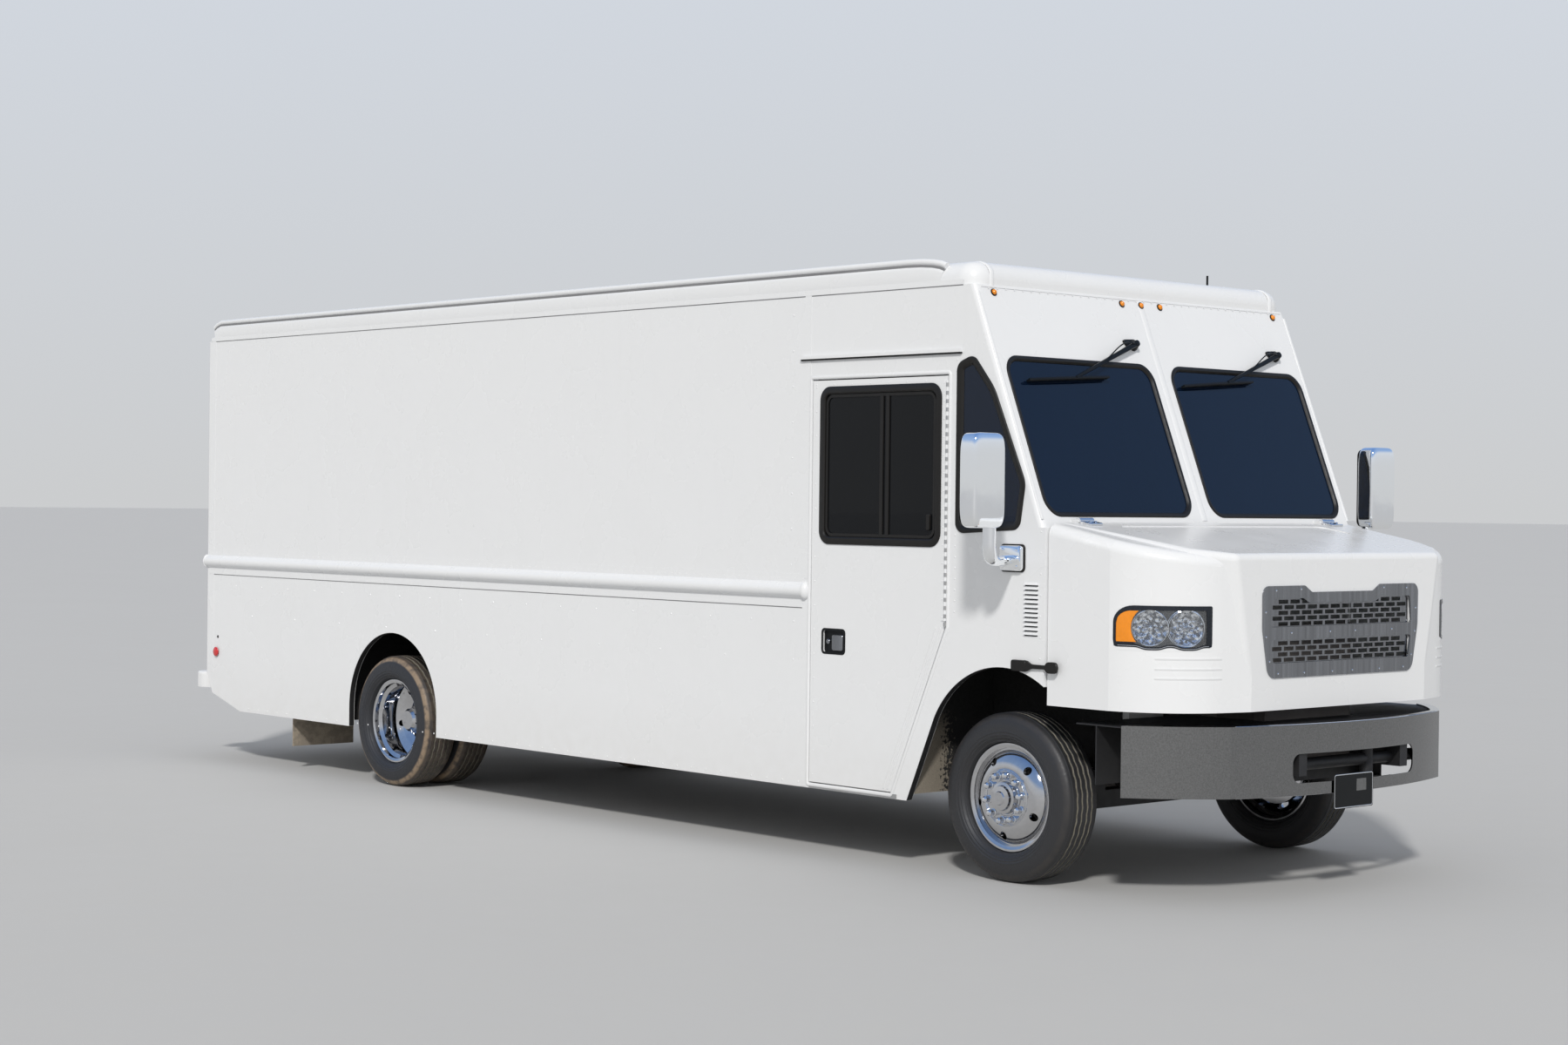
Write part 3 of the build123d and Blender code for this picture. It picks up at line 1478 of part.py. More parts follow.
# Red lamps: a row over the rear doors, tail lamps in the sill and a marker on each side
with BuildPart() as red_lamps:
    with BuildSketch(Plane.YZ.offset(body_rear_x)):
        with Locations(*[(y, 2838) for y in lamp_row_y]):
            Circle(17)
        for inset in (139, 289):
            with Locations((half_width - inset, 700), (inset - half_width, 700)):
                Circle(52)
    extrude(amount=-14)
    for side in (-1, 1):
        with BuildSketch(Plane.XZ.offset(-side * half_width)):
            with Locations((rear_x - 2154, 742)):
                Circle(22)
        extrude(amount=-side * 12)
save(red_lamps, "red_lamps")

# Aerials on the roof
with BuildPart() as roof_aerials:
    with BuildSketch(Plane.XY.offset(roof_z)):
        with Locations((front_x - 700, -380)):
            Circle(60)
    extrude(amount=38)
    with BuildSketch(Plane.XY.offset(roof_z)):
        with Locations((front_x - 560, 1050)):
            Circle(6)
    extrude(amount=95)
save(roof_aerials, "roof_aerials")

# Dashboard across the cab
with BuildPart() as dashboard:
    with BuildSketch(Plane.XZ.offset(inner_y - 5)):
        with BuildLine():
            Polyline(
                (floor_front_x, 1400),
                (floor_front_x, 1706),
                (front_x + 150, 1712),
                (front_x - 10, 1665),
                (front_x - 60, 1560),
                (front_x + 20, 1400),
                close=True,
            )
        make_face()
    extrude(amount=-2 * (inner_y - 5))
save(dashboard, "dashboard")

# Driver's seat on its pedestal
seat_y = 560
seat_x = front_x - 640
with BuildPart() as driver_seat:
    with BuildSketch(Plane.XY.offset(floor_z)):
        with Locations((seat_x, seat_y - 75)):
            Rectangle(300, 210)
    extrude(amount=400)
    with BuildSketch(Plane.XY.offset(floor_z + 400)):
        with Locations((seat_x + 20, seat_y)):
            RectangleRounded(480, 500, 60)
    extrude(amount=120)
    with BuildSketch(Plane.XZ.offset(-seat_y + 240)):
        with BuildLine():
            Polyline(
                (seat_x - 220, floor_z + 440),
                (seat_x - 120, floor_z + 440),
                (seat_x - 200, floor_z + 1180),
                (seat_x - 290, floor_z + 1180),
                close=True,
            )
        make_face()
    extrude(amount=-480)
save(driver_seat, "driver_seat")

# Steering wheel and column
wheel_tilt = 32
wheel_hub = (front_x - 190, seat_y, 1640)
column_r = 26
column_length = (
    floor_front_x - fit_gap - wheel_hub[0] - column_r * cos(radians(wheel_tilt))
) / sin(radians(wheel_tilt))
wheel_plane = Plane(
    origin=wheel_hub,
    x_dir=(0, 1, 0),
    z_dir=(-sin(radians(wheel_tilt)), 0, cos(radians(wheel_tilt))),
)
with BuildPart() as steering_wheel:
    with BuildSketch(wheel_plane):
        Circle(225)
        Circle(195, mode=Mode.SUBTRACT)
        Rectangle(400, 34)
        Circle(52)
    extrude(amount=24)
    with BuildSketch(wheel_plane):
        Circle(column_r)
    extrude(amount=-column_length)
save(steering_wheel, "steering_wheel")

# Mud flaps behind the rear wheels
flap_x = body_rear_x + 1090
flap_y = half_width - 284
flap_width = 470
flap_low_z = 155
with BuildPart() as mud_flaps:
    for side in (-1, 1):
        with BuildSketch(Plane.YZ.offset(flap_x)):
            with Locations((side * flap_y, (flap_low_z + rail_top_z) / 2)):
                Rectangle(flap_width, rail_top_z - flap_low_z)
        extrude(amount=-8)
save(mud_flaps, "mud_flaps")
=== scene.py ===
"""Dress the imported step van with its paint, glass, wheels, lamps and small parts."""

from __future__ import annotations

import json
import logging
import math
from collections.abc import Callable
from dataclasses import dataclass
from enum import Enum

import bpy
import numpy as np
from mathutils import Matrix

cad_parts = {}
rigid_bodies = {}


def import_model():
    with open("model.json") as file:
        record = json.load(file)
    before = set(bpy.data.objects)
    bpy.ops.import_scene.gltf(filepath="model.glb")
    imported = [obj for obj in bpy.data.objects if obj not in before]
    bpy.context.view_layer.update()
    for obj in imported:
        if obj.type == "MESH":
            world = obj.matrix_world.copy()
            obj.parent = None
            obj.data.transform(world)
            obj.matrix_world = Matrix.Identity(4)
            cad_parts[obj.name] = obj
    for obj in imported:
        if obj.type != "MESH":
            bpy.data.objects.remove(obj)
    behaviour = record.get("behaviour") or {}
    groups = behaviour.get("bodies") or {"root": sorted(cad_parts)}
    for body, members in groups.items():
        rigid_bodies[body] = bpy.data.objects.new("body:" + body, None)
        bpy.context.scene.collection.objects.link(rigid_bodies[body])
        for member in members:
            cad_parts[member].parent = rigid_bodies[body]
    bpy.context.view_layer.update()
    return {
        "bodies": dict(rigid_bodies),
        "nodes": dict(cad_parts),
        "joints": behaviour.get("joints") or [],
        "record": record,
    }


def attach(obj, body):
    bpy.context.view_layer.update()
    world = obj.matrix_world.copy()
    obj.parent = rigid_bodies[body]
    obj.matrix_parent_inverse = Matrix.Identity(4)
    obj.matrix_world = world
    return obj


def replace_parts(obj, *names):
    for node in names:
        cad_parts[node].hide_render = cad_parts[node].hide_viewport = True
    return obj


LOG = logging.getLogger("step_van")
Array = np.ndarray
Colour = tuple[float, float, float]
Place = tuple[float, float]
Socket = bpy.types.NodeSocket

# Sizes shared by the sub-assemblies, in metres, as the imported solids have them
FRONT_X = 3.260
REAR_X = -1.980
HALF_WIDTH = 1.219
SKIRT_Z = 0.348
CAP_Z = 2.896
ROOF_Z = 3.013
BODY_REAR_X = REAR_X - 2.310
SEAM_X = FRONT_X - 1.341
DASH_X = FRONT_X + 0.316
COWL_X = FRONT_X + 0.283
COWL_Z = 1.767
FACE_SLOPE = 0.397
AXLE_Z = 0.412
NOSE_X = FRONT_X + 1.125
# The arc of the nose's corner, as (x, distance from the middle)
CHEEK_ARC = np.array([(3.960, 1.200), (4.225, 1.062), (4.340, 0.860)])

# Radius and height of the rivet heads
BODY_RIVET = (0.0052, 0.0026)
FINE_RIVET = (0.0045, 0.0022)

# Directions: along, across and up, then out of the right-hand skin and out of the tail
X_AXIS = (1.0, 0.0, 0.0)
Y_AXIS = (0.0, 1.0, 0.0)
Z_AXIS = (0.0, 0.0, 1.0)
OUT = (0.0, -1.0, 0.0)
BACK = (-1.0, 0.0, 0.0)


class Side(Enum):
    """The two sides of the van, with the sign of y on each."""

    RIGHT = -1
    LEFT = 1


def points_at(x: Array | float, y: Array | float, z: Array | float) -> Array:
    """Return points from their coordinates, each a number or an array."""
    return np.stack(np.broadcast_arrays(x, y, z), -1)


def face_x(z: Array | float) -> Array | float:
    """Return the x of the raked cab face at a height.

    Args:
        z: height above the ground.

    Returns:
        The face's x at that height: a straight line through the cowl.
    """
    return COWL_X - FACE_SLOPE * (z - COWL_Z)


FACE_NORMAL = np.array([1.0, 0.0, FACE_SLOPE]) / math.hypot(1.0, FACE_SLOPE)


def on_face(y: Array | float, z: Array | float, proud: float = 0.0) -> Array:
    """Return points of the raked face.

    Args:
        y: place across the van.
        z: height above the ground.
        proud: distance out from the face.

    Returns:
        Points with the face's x, moved along its normal.
    """
    return points_at(face_x(z), y, z) + proud * FACE_NORMAL


def on_side(x: Array | float, z: Array | float, proud: float = 0.0) -> Array:
    """Return points on the right-hand skin.

    Args:
        x: place along the van.
        z: height above the ground.
        proud: distance out from the skin.

    Returns:
        Points with y on the right-hand skin.
    """
    return points_at(x, -HALF_WIDTH - proud, z)


@dataclass(frozen=True)
class Finish:
    """A surface finish: colour, gloss, and the wander and grain that the real one shows.

    No finish has the name of one of the record's slots, because the frame's plain materials
    have those names.
    """

    name: str
    colour: Colour
    roughness: float = 0.5
    metallic: float = 0.0
    coat: float = 0.0
    wander: float = 0.06
    wander_scale: float = 2.5
    rough_wander: float = 0.05
    grain_depth: float = 0.0
    grain_scale: float = 300.0
    stretch: tuple[float, float, float] = (1.0, 1.0, 1.0)
    gloss: float = 0.5

    def material(self) -> bpy.types.Material:
        """Return the finish's material, made once and kept by its name."""
        found = bpy.data.materials.get(self.name)
        if found is not None:
            return found
        made = bpy.data.materials.new(self.name)
        made.use_nodes = True
        made.diffuse_color = (*self.colour, 1.0)
        tree = Nodes(made)
        tree.shader.inputs["Metallic"].default_value = self.metallic
        tree.shader.inputs["Coat Weight"].default_value = self.coat
        tree.shader.inputs["Coat Roughness"].default_value = 0.08
        tree.shader.inputs["Specular IOR Level"].default_value = self.gloss
        self.dress(tree)
        return made

    def dimmed(self, share: float) -> Colour:
        """Return the finish's colour times a share."""
        return tuple(c * share for c in self.colour)

    def dress(self, tree: Nodes) -> None:
        """Wire the colour, roughness and grain.

        Args:
            tree: the material's nodes.
        """
        place = tree.place(self.stretch)
        cloud = tree.noise(place, self.wander_scale, 4.0)
        high = tuple(min(1.0, c) for c in self.dimmed(1.0 + self.wander))
        tree.link(tree.blend(cloud, self.dimmed(1.0 - self.wander), high), "Base Color")
        self.gloss_and_grain(tree, place)

    def gloss_and_grain(self, tree: Nodes, place: Socket) -> None:
        """Wire the roughness to a fine noise and the grain to a bump.

        Args:
            tree: the material's nodes.
            place: the coordinates of the pattern.
        """
        fine = tree.noise(place, self.wander_scale * 9.0, 3.0)
        low = max(0.02, self.roughness - self.rough_wander)
        tree.link(tree.spread(fine, low, self.roughness + self.rough_wander), "Roughness")
        if self.grain_depth > 0.0:
            grain = tree.noise(place, self.grain_scale, 2.0)
            tree.bump(grain, self.grain_depth)


class Nodes:
    """The node tree of one material, with short calls for the nodes that finishes use."""

    def __init__(self, material: bpy.types.Material) -> None:
        """Take over a new material's tree.

        Args:
            material: a material that uses nodes.
        """
        self.tree = material.node_tree
        self.shader = self.tree.nodes["Principled BSDF"]

    def new(self, kind: str) -> bpy.types.Node:
        """Return a new node of a kind."""
        return self.tree.nodes.new(kind)

    def wire(self, source: Socket, target: Socket) -> None:
        """Join two sockets."""
        self.tree.links.new(source, target)

    def link(self, source: Socket, name: str) -> None:
        """Join a socket to the shader's input of that name."""
        self.wire(source, self.shader.inputs[name])

    def place(
        self,
        stretch: tuple[float, float, float] = (1.0, 1.0, 1.0),
        centre: tuple[float, float, float] = (0.0, 0.0, 0.0),
    ) -> Socket:
        """Return object coordinates, moved and stretched.

        Args:
            stretch: factor on each axis.
            centre: point that becomes the origin.

        Returns:
            The socket of the coordinates.
        """
        source = self.new("ShaderNodeTexCoord").outputs["Object"]
        mapping = self.new("ShaderNodeMapping")
        mapping.inputs["Scale"].default_value = stretch
        mapping.inputs["Location"].default_value = [-c * s for c, s in zip(centre, stretch)]
        self.wire(source, mapping.inputs["Vector"])
        return mapping.outputs["Vector"]

    def noise(self, place: Socket, scale: float, detail: float) -> Socket:
        """Return a noise value from 0 to 1.

        Args:
            place: coordinates.
            scale: clouds per metre.
            detail: octaves.

        Returns:
            The socket of the value.
        """
        node = self.new("ShaderNodeTexNoise")
        node.inputs["Scale"].default_value = scale
        node.inputs["Detail"].default_value = detail
        self.wire(place, node.inputs["Vector"])
        return node.outputs["Fac"]

    def spread(
        self, value: Socket, low: float, high: float, start: float = 0.3, end: float = 0.7
    ) -> Socket:
        """Return a value mapped from a range to low and high.

        Args:
            value: the source.
            low: result at the start.
            high: result at the end.
            start: source value that gives low.
            end: source value that gives high.

        Returns:
            The socket of the mapped value.
        """
        node = self.new("ShaderNodeMapRange")
        node.inputs["From Min"].default_value = start
        node.inputs["From Max"].default_value = end
        node.inputs["To Min"].default_value = low
        node.inputs["To Max"].default_value = high
        self.wire(value, node.inputs["Value"])
        return node.outputs["Result"]

    def maths(self, operation: str, first: Socket, second: Socket | float) -> Socket:
        """Return the result of a two-value operation.

        Args:
            operation: name of the operation, such as MULTIPLY.
            first: a socket.
            second: a socket or a number.

        Returns:
            The socket of the result.
        """
        node = self.new("ShaderNodeMath")
        node.operation = operation
        self.wire(first, node.inputs[0])
        if isinstance(second, (int, float)):
            node.inputs[1].default_value = second
        else:
            self.wire(second, node.inputs[1])
        return node.outputs["Value"]

    def blend(self, share: Socket, low: Colour | Socket, high: Colour | Socket) -> Socket:
        """Return a colour between two.

        Args:
            share: 0 gives the first colour, 1 the second.
            low: first colour or socket.
            high: second colour or socket.

        Returns:
            The socket of the colour.
        """
        node = self.new("ShaderNodeMix")
        node.data_type = "RGBA"
        self.wire(share, node.inputs["Factor"])
        for name, value in (("A", low), ("B", high)):
            socket = [s for s in node.inputs if s.name == name and s.type == "RGBA"][0]
            if isinstance(value, tuple):
                socket.default_value = (*value, 1.0)
            else:
                self.wire(value, socket)
        return [s for s in node.outputs if s.type == "RGBA"][0]

    def bump(self, height: Socket, depth: float) -> None:
        """Wire a height to the shader's normal.

        Args:
            height: 0 to 1.
            depth: metres between the two.
        """
        node = self.new("ShaderNodeBump")
        node.inputs["Distance"].default_value = depth
        self.wire(height, node.inputs["Height"])
        self.link(node.outputs["Normal"], "Normal")


@dataclass(frozen=True)
class WhitePaint(Finish):
    """Sprayed white paint over sheet metal, with faint rain streaks and dust low down."""

    dust_colour: Colour = (0.50, 0.47, 0.42)
    dust_top_z: float = 0.75
    streak_share: float = 0.035

    def dress(self, tree: Nodes) -> None:
        """Wire streaks, dust and the slow waves of the sheets."""
        place = tree.place()
        tall = tree.place((5.0, 5.0, 0.45))
        cloud = tree.noise(place, self.wander_scale, 5.0)
        base = tree.blend(cloud, self.dimmed(1.0 - self.wander), self.colour)
        streaks = tree.spread(tree.noise(tall, 3.0, 6.0), 0.0, self.streak_share, 0.55, 0.85)
        split = tree.new("ShaderNodeSeparateXYZ")
        tree.wire(place, split.inputs[0])
        foot = tree.spread(split.outputs["Z"], 0.22, 0.0, SKIRT_Z, self.dust_top_z)
        foot = tree.maths("MULTIPLY", foot, tree.noise(place, 14.0, 6.0))
        dirt = tree.maths("MAXIMUM", streaks, foot)
        tree.link(tree.blend(dirt, base, self.dust_colour), "Base Color")
        rough = tree.spread(cloud, self.roughness - 0.04, self.roughness + 0.06)
        tree.link(tree.maths("ADD", rough, tree.maths("MULTIPLY", dirt, 0.5)), "Roughness")
        tree.bump(tree.noise(place, 1.6, 1.0), self.grain_depth)


@dataclass(frozen=True)
class Brushed(Finish):
    """Brushed steel: fine lines along one axis."""

    def dress(self, tree: Nodes) -> None:
        """Wire the lines to colour, roughness and grain."""
        place = tree.place(self.stretch)
        lines = tree.noise(place, self.grain_scale, 3.0)
        low = self.dimmed(1.0 - self.wander)
        tree.link(tree.blend(lines, low, self.colour), "Base Color")
        tree.link(tree.spread(lines, self.roughness, self.roughness + 0.18), "Roughness")
        tree.bump(lines, self.grain_depth)


@dataclass(frozen=True)
class Glass(Finish):
    """Tinted glass that lets a share of the light through, with faint water marks."""

    clearness: float = 0.6

    def dress(self, tree: Nodes) -> None:
        """Wire the tint, the marks and the clearness."""
        tree.shader.inputs["Transmission Weight"].default_value = self.clearness
        tree.shader.inputs["IOR"].default_value = 1.45
        place = tree.place((1.0, 1.0, 0.3))
        marks = tree.noise(place, 9.0, 6.0)
        tree.link(tree.blend(marks, self.dimmed(0.85), self.colour), "Base Color")
        tree.link(tree.spread(marks, self.roughness, self.roughness + 0.05, 0.5, 0.9), "Roughness")


@dataclass(frozen=True)
class PaintedReflectionMetal(Finish):
    """A silvered reflector with painted reflections: its colour goes from white to dark in blotches
    that stand in for what its facets mirror.
    """

    # colour of the painted dark reflections
    dark: Colour = (0.09, 0.10, 0.12)

    def dress(self, tree: Nodes) -> None:
        """Wire the painted reflections to the colour."""
        place = tree.place()
        painted_reflections = tree.spread(tree.noise(place, self.wander_scale, 2.0), 0.0, 1.0, 0.40, 0.56)
        tree.link(tree.blend(painted_reflections, self.dark, self.colour), "Base Color")
        self.gloss_and_grain(tree, place)


@dataclass(frozen=True)
class Tread(Finish):
    """Tyre rubber with dust in a ring round the shoulder and on the tread."""

    dust: Colour = (0.36, 0.27, 0.18)
    dust_share: float = 0.3
    centre_x: float = FRONT_X
    # radii where the dusty ring begins, is full, starts to fade and ends
    dust_ring: tuple[float, float, float, float] = (0.372, 0.381, 0.398, 0.404)
    tread_share: float = 0.0

    def dress(self, tree: Nodes) -> None:
        """Wire dust by the distance from the axle and by noise."""
        place = tree.place((1.0, 0.0, 1.0), (self.centre_x, 0.0, AXLE_Z))
        length = tree.new("ShaderNodeVectorMath")
        length.operation = "LENGTH"
        tree.wire(place, length.inputs[0])
        begin, full, fade, end = self.dust_ring
        inner = tree.spread(length.outputs["Value"], 0.0, 1.0, begin, full)
        outer = tree.spread(length.outputs["Value"], 1.0, self.tread_share, fade, end)
        spots = tree.place()
        cloud = tree.spread(tree.noise(spots, 26.0, 8.0), 0.35, 1.0, 0.35, 0.55)
        fine = tree.noise(spots, 90.0, 5.0)
        ring = tree.maths("MULTIPLY", tree.maths("MULTIPLY", inner, outer), cloud)
        dusty = tree.maths("MULTIPLY", ring, self.dust_share)
        rubber = tree.blend(fine, self.dimmed(0.75), self.colour)
        tree.link(tree.blend(dusty, rubber, self.dust), "Base Color")
        tree.link(tree.spread(fine, self.roughness - 0.08, self.roughness + 0.1), "Roughness")
        tree.bump(fine, self.grain_depth)


@dataclass(frozen=True)
class Muddy(Finish):
    """A dark panel splashed with dried tan mud."""

    mud: Colour = (0.38, 0.31, 0.23)
    mud_share: float = 0.75
    mud_from_x: float = -10.0
    mud_top_z: float = 10.0
    # distances from the middle plane between which the density goes from thin to thick
    mud_side: tuple[float, float] = (0.88, 1.08)
    mud_density: tuple[float, float] = (0.0, 0.0)
    fineness: float = 1.0

    def dress(self, tree: Nodes) -> None:
        """Wire splashes of mud over the base colour."""
        place = tree.place()
        blots = tree.noise(place, 22.0 * self.fineness, 10.0)
        specks = tree.noise(place, 120.0, 4.0)
        split = tree.new("ShaderNodeSeparateXYZ")
        tree.wire(place, split.inputs[0])
        off = tree.maths("ABSOLUTE", split.outputs["Y"], 0.0)
        density = tree.spread(off, *self.mud_density, *self.mud_side)
        mask = tree.spread(tree.maths("ADD", blots, density), 0.0, self.mud_share, 0.45, 0.58)
        ahead = tree.spread(split.outputs["X"], 0.0, 1.0, self.mud_from_x, self.mud_from_x + 0.05)
        below = tree.spread(split.outputs["Z"], 1.0, 0.0, self.mud_top_z - 0.12, self.mud_top_z)
        mask = tree.maths("MULTIPLY", tree.maths("MULTIPLY", mask, ahead), below)
        mud = tree.blend(specks, tuple(c * 0.6 for c in self.mud), self.mud)
        tree.link(tree.blend(mask, self.colour, mud), "Base Color")
        tree.link(tree.spread(blots, self.roughness, 0.95), "Roughness")
        tree.bump(specks, 0.002)


class Finishes(Enum):
    """Every finish of the van."""

    PAINT = WhitePaint(
        "sprayed_white", (0.762, 0.772, 0.782), 0.27, wander=0.02, grain_depth=0.004, gloss=0.4
    )
    INNER = Finish("lining_panel", (0.50, 0.51, 0.51), 0.6, grain_depth=0.0006)
    FLOOR_SHEET = Brushed(
        "floor_sheet", (0.42, 0.42, 0.43), 0.4, 0.9, wander=0.25, stretch=(1.0, 14.0, 14.0),
        grain_scale=20.0, grain_depth=0.0004,
    )
    # a dark tint, its blue partly a painted reflection of the sky
    WINDSCREEN = Glass("windscreen_glass", (0.004, 0.014, 0.040), 0.02, clearness=0.5, gloss=0.33)
    SIDE_GLASS = Glass("side_glass", (0.008, 0.009, 0.011), 0.02, clearness=0.35, gloss=0.10)
    CHASSIS = Finish("frame_enamel", (0.014, 0.014, 0.015), 0.55, wander=0.35, grain_depth=0.0008)
    CASTING = Finish(
        "raw_casting", (0.13, 0.12, 0.115), 0.7, 0.5, wander=0.3, grain_depth=0.0012
    )
    EXHAUST = Finish(
        "weathered_steel", (0.26, 0.20, 0.16), 0.55, 0.8, wander=0.45, wander_scale=9.0,
        grain_depth=0.0008,
    )
    CHROME = Finish("bright_chrome", (0.72, 0.73, 0.75), 0.05, 1.0, rough_wander=0.02, wander=0.03)
    MIRROR = Finish("mirror_polish", (0.96, 0.975, 1.0), 0.06, 1.0, rough_wander=0.02, wander=0.02)
    # The bumper's chrome, its colour painted dark grey: a painted reflection of dark surroundings
    BUMPER = Finish(
        "polished_steel", (0.235, 0.235, 0.233), 0.10, 1.0, wander=0.40, wander_scale=150.0,
        rough_wander=0.02,
    )
    WHEEL = Finish(
        "wheel_polish", (0.56, 0.56, 0.57), 0.07, 1.0, wander=0.10, wander_scale=40.0,
        rough_wander=0.03,
    )
    STEEL = Brushed(
        "grille_steel", (0.38, 0.39, 0.41), 0.14, 1.0, wander=0.62, stretch=(1.0, 8.0, 0.15),
        grain_scale=7.0, grain_depth=0.0001,
    )
    ALUMINIUM = Brushed(
        "sill_aluminium", (0.58, 0.57, 0.55), 0.34, 1.0, wander=0.2, stretch=(0.2, 8.0, 8.0),
        grain_scale=60.0, grain_depth=0.0002,
    )
    RUBBER = Finish(
        "worn_rubber", (0.013, 0.012, 0.011), 0.42, wander=0.2, grain_depth=0.0004, gloss=0.25
    )
    PLASTIC = Finish(
        "moulded_plastic", (0.008, 0.009, 0.010), 0.34, wander=0.15, grain_depth=0.0003, gloss=0.15
    )
    FRONT_TREAD = Tread(
        "front_tread", (0.026, 0.026, 0.028), 0.50, grain_depth=0.0006, dust_share=0.03
    )
    REAR_TREAD = Tread(
        "rear_tread", (0.026, 0.027, 0.031), 0.55, grain_depth=0.0008, dust=(0.27, 0.20, 0.135),
        dust_share=0.95, tread_share=0.28, centre_x=REAR_X,
    )
    GROOVE_DUST = Finish(
        "groove_dust", (0.20, 0.185, 0.15), 0.9, wander=0.7, wander_scale=70.0, grain_depth=0.001
    )
    FLAP = Muddy("muddy_flap", (0.26, 0.225, 0.18), 0.8, mud=(0.46, 0.39, 0.30), mud_share=0.8)
    LINER = Muddy(
        "muddy_liner", (0.014, 0.014, 0.014), 0.8, mud=(0.34, 0.30, 0.24), mud_share=0.9,
        mud_from_x=2.0, mud_top_z=0.80, mud_density=(-0.20, 0.35), fineness=3.0,
    )
    AMBER = Finish("amber_lens", (0.80, 0.25, 0.004), 0.25, coat=0.3, wander=0.12, wander_scale=60.0)
    RED = Finish("red_lens", (0.55, 0.02, 0.02), 0.18, coat=0.8, wander=0.12, wander_scale=60.0)
    LENS = Glass("clear_lens", (0.93, 0.95, 0.97), 0.02, clearness=0.95)
    # Silvered reflector, its colour painted in white and dark blotches as reflections
    REFLECTOR = PaintedReflectionMetal(
        "lamp_reflector", (1.0, 1.0, 1.0), 0.06, 1.0, wander_scale=62.0, rough_wander=0.04
    )
    LAMP_BODY = Finish("lamp_bowl", (0.030, 0.034, 0.042), 0.25, 0.7, wander=0.25, wander_scale=30.0)
    # grey for painted shadow lines
    SEALANT = Finish("grey_sealant", (0.20, 0.20, 0.205), 0.6, wander=0.3, grain_depth=0.0004)
    SEAT = Finish("seat_cloth", (0.055, 0.055, 0.060), 0.85, wander=0.3, grain_depth=0.0012)
    STUDIO_FLOOR = Finish("studio_floor", (0.52, 0.52, 0.515), 0.85, wander=0.015, wander_scale=0.4)


@dataclass
class Shape:
    """Points and faces of one or more surfaces, before they become a mesh."""

    points: Array
    faces: list[Array]

    def __add__(self, other: Shape) -> Shape:
        """Return both shapes as one."""
        shift = len(self.points)
        return Shape(
            np.concatenate([self.points, other.points]),
            self.faces + [f + shift for f in other.faces],
        )

    def mirrored(self) -> Shape:
        """Return the shape on the van's other side, its faces still outwards."""
        return Shape(self.points * (1.0, -1.0, 1.0), [f[:, ::-1] for f in self.faces])

    def moved(self, by: Array) -> Shape:
        """Return the shape, moved."""
        return Shape(self.points + by, self.faces)

    def on(self, side: Side) -> Shape:
        """Return the shape, drawn for the right-hand side, on the side that is asked for."""
        return self if side is Side.RIGHT else self.mirrored()

    def both(self) -> Shape:
        """Return the shape and its mirror image."""
        return self + self.mirrored()

    def piece(
        self,
        name: str,
        finish: Finishes,
        body: str = "chassis",
        slot: str = "white_paint",
        sharp: float = 35.0,
    ) -> bpy.types.Object:
        """Make the mesh object, with its finish and its body.

        Args:
            name: name of the piece.
            finish: its finish.
            body: the CAD body that it rides on.
            slot: not used.
            sharp: edges that turn by more than this many degrees stay sharp.

        Returns:
            The object, at the origin.
        """
        mesh = bpy.data.meshes.new(name)
        faces = [row.tolist() for block in self.faces for row in np.atleast_2d(block)]
        mesh.from_pydata(self.points, [], faces)
        mesh.validate()
        mesh.materials.append(finish.value.material())
        mesh.shade_smooth()
        mesh.set_sharp_from_angle(angle=math.radians(sharp))
        made = bpy.data.objects.new(name, mesh)
        bpy.context.scene.collection.objects.link(made)
        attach(made, body)
        LOG.info("%s: %d faces on %s", name, len(faces), body)
        return made


def joined(shapes: list[Shape]) -> Shape:
    """Return several shapes as one."""
    total = shapes[0]
    for shape in shapes[1:]:
        total = total + shape
    return total


def quads(rows: int, columns: int, close_rows: bool = False, close_columns: bool = False) -> Array:
    """Return the quads of a grid of points.

    Args:
        rows: points along the first parameter.
        columns: points along the second parameter.
        close_rows: the last row joins the first.
        close_columns: the last column joins the first.

    Returns:
        Four indices for each cell, counted row by row.
    """
    r = np.arange(rows if close_rows else rows - 1)[:, None]
    c = np.arange(columns if close_columns else columns - 1)[None, :]
    r2 = (r + 1) % rows
    c2 = (c + 1) % columns
    cells = [r * columns + c, r2 * columns + c, r2 * columns + c2, r * columns + c2]
    return np.stack(cells, -1).reshape(-1, 4)


def sheet(grid: Array, close_rows: bool = False, close_columns: bool = False) -> Shape:
    """Return the surface through a grid of points, (rows, columns, 3)."""
    return Shape(grid.reshape(-1, 3), [quads(*grid.shape[:2], close_rows, close_columns)])


def unit(vectors: Array) -> Array:
    """Return vectors with length 1."""
    return vectors / np.maximum(np.linalg.norm(vectors, axis=-1, keepdims=True), 1e-12)


def tangents(path: Array, closed: bool) -> Array:
    """Return the direction of a path at each point: the sum of its two neighbouring steps."""
    if closed:
        return unit(np.roll(path, -1, 0) - np.roll(path, 1, 0))
    return unit(np.gradient(path, axis=0))


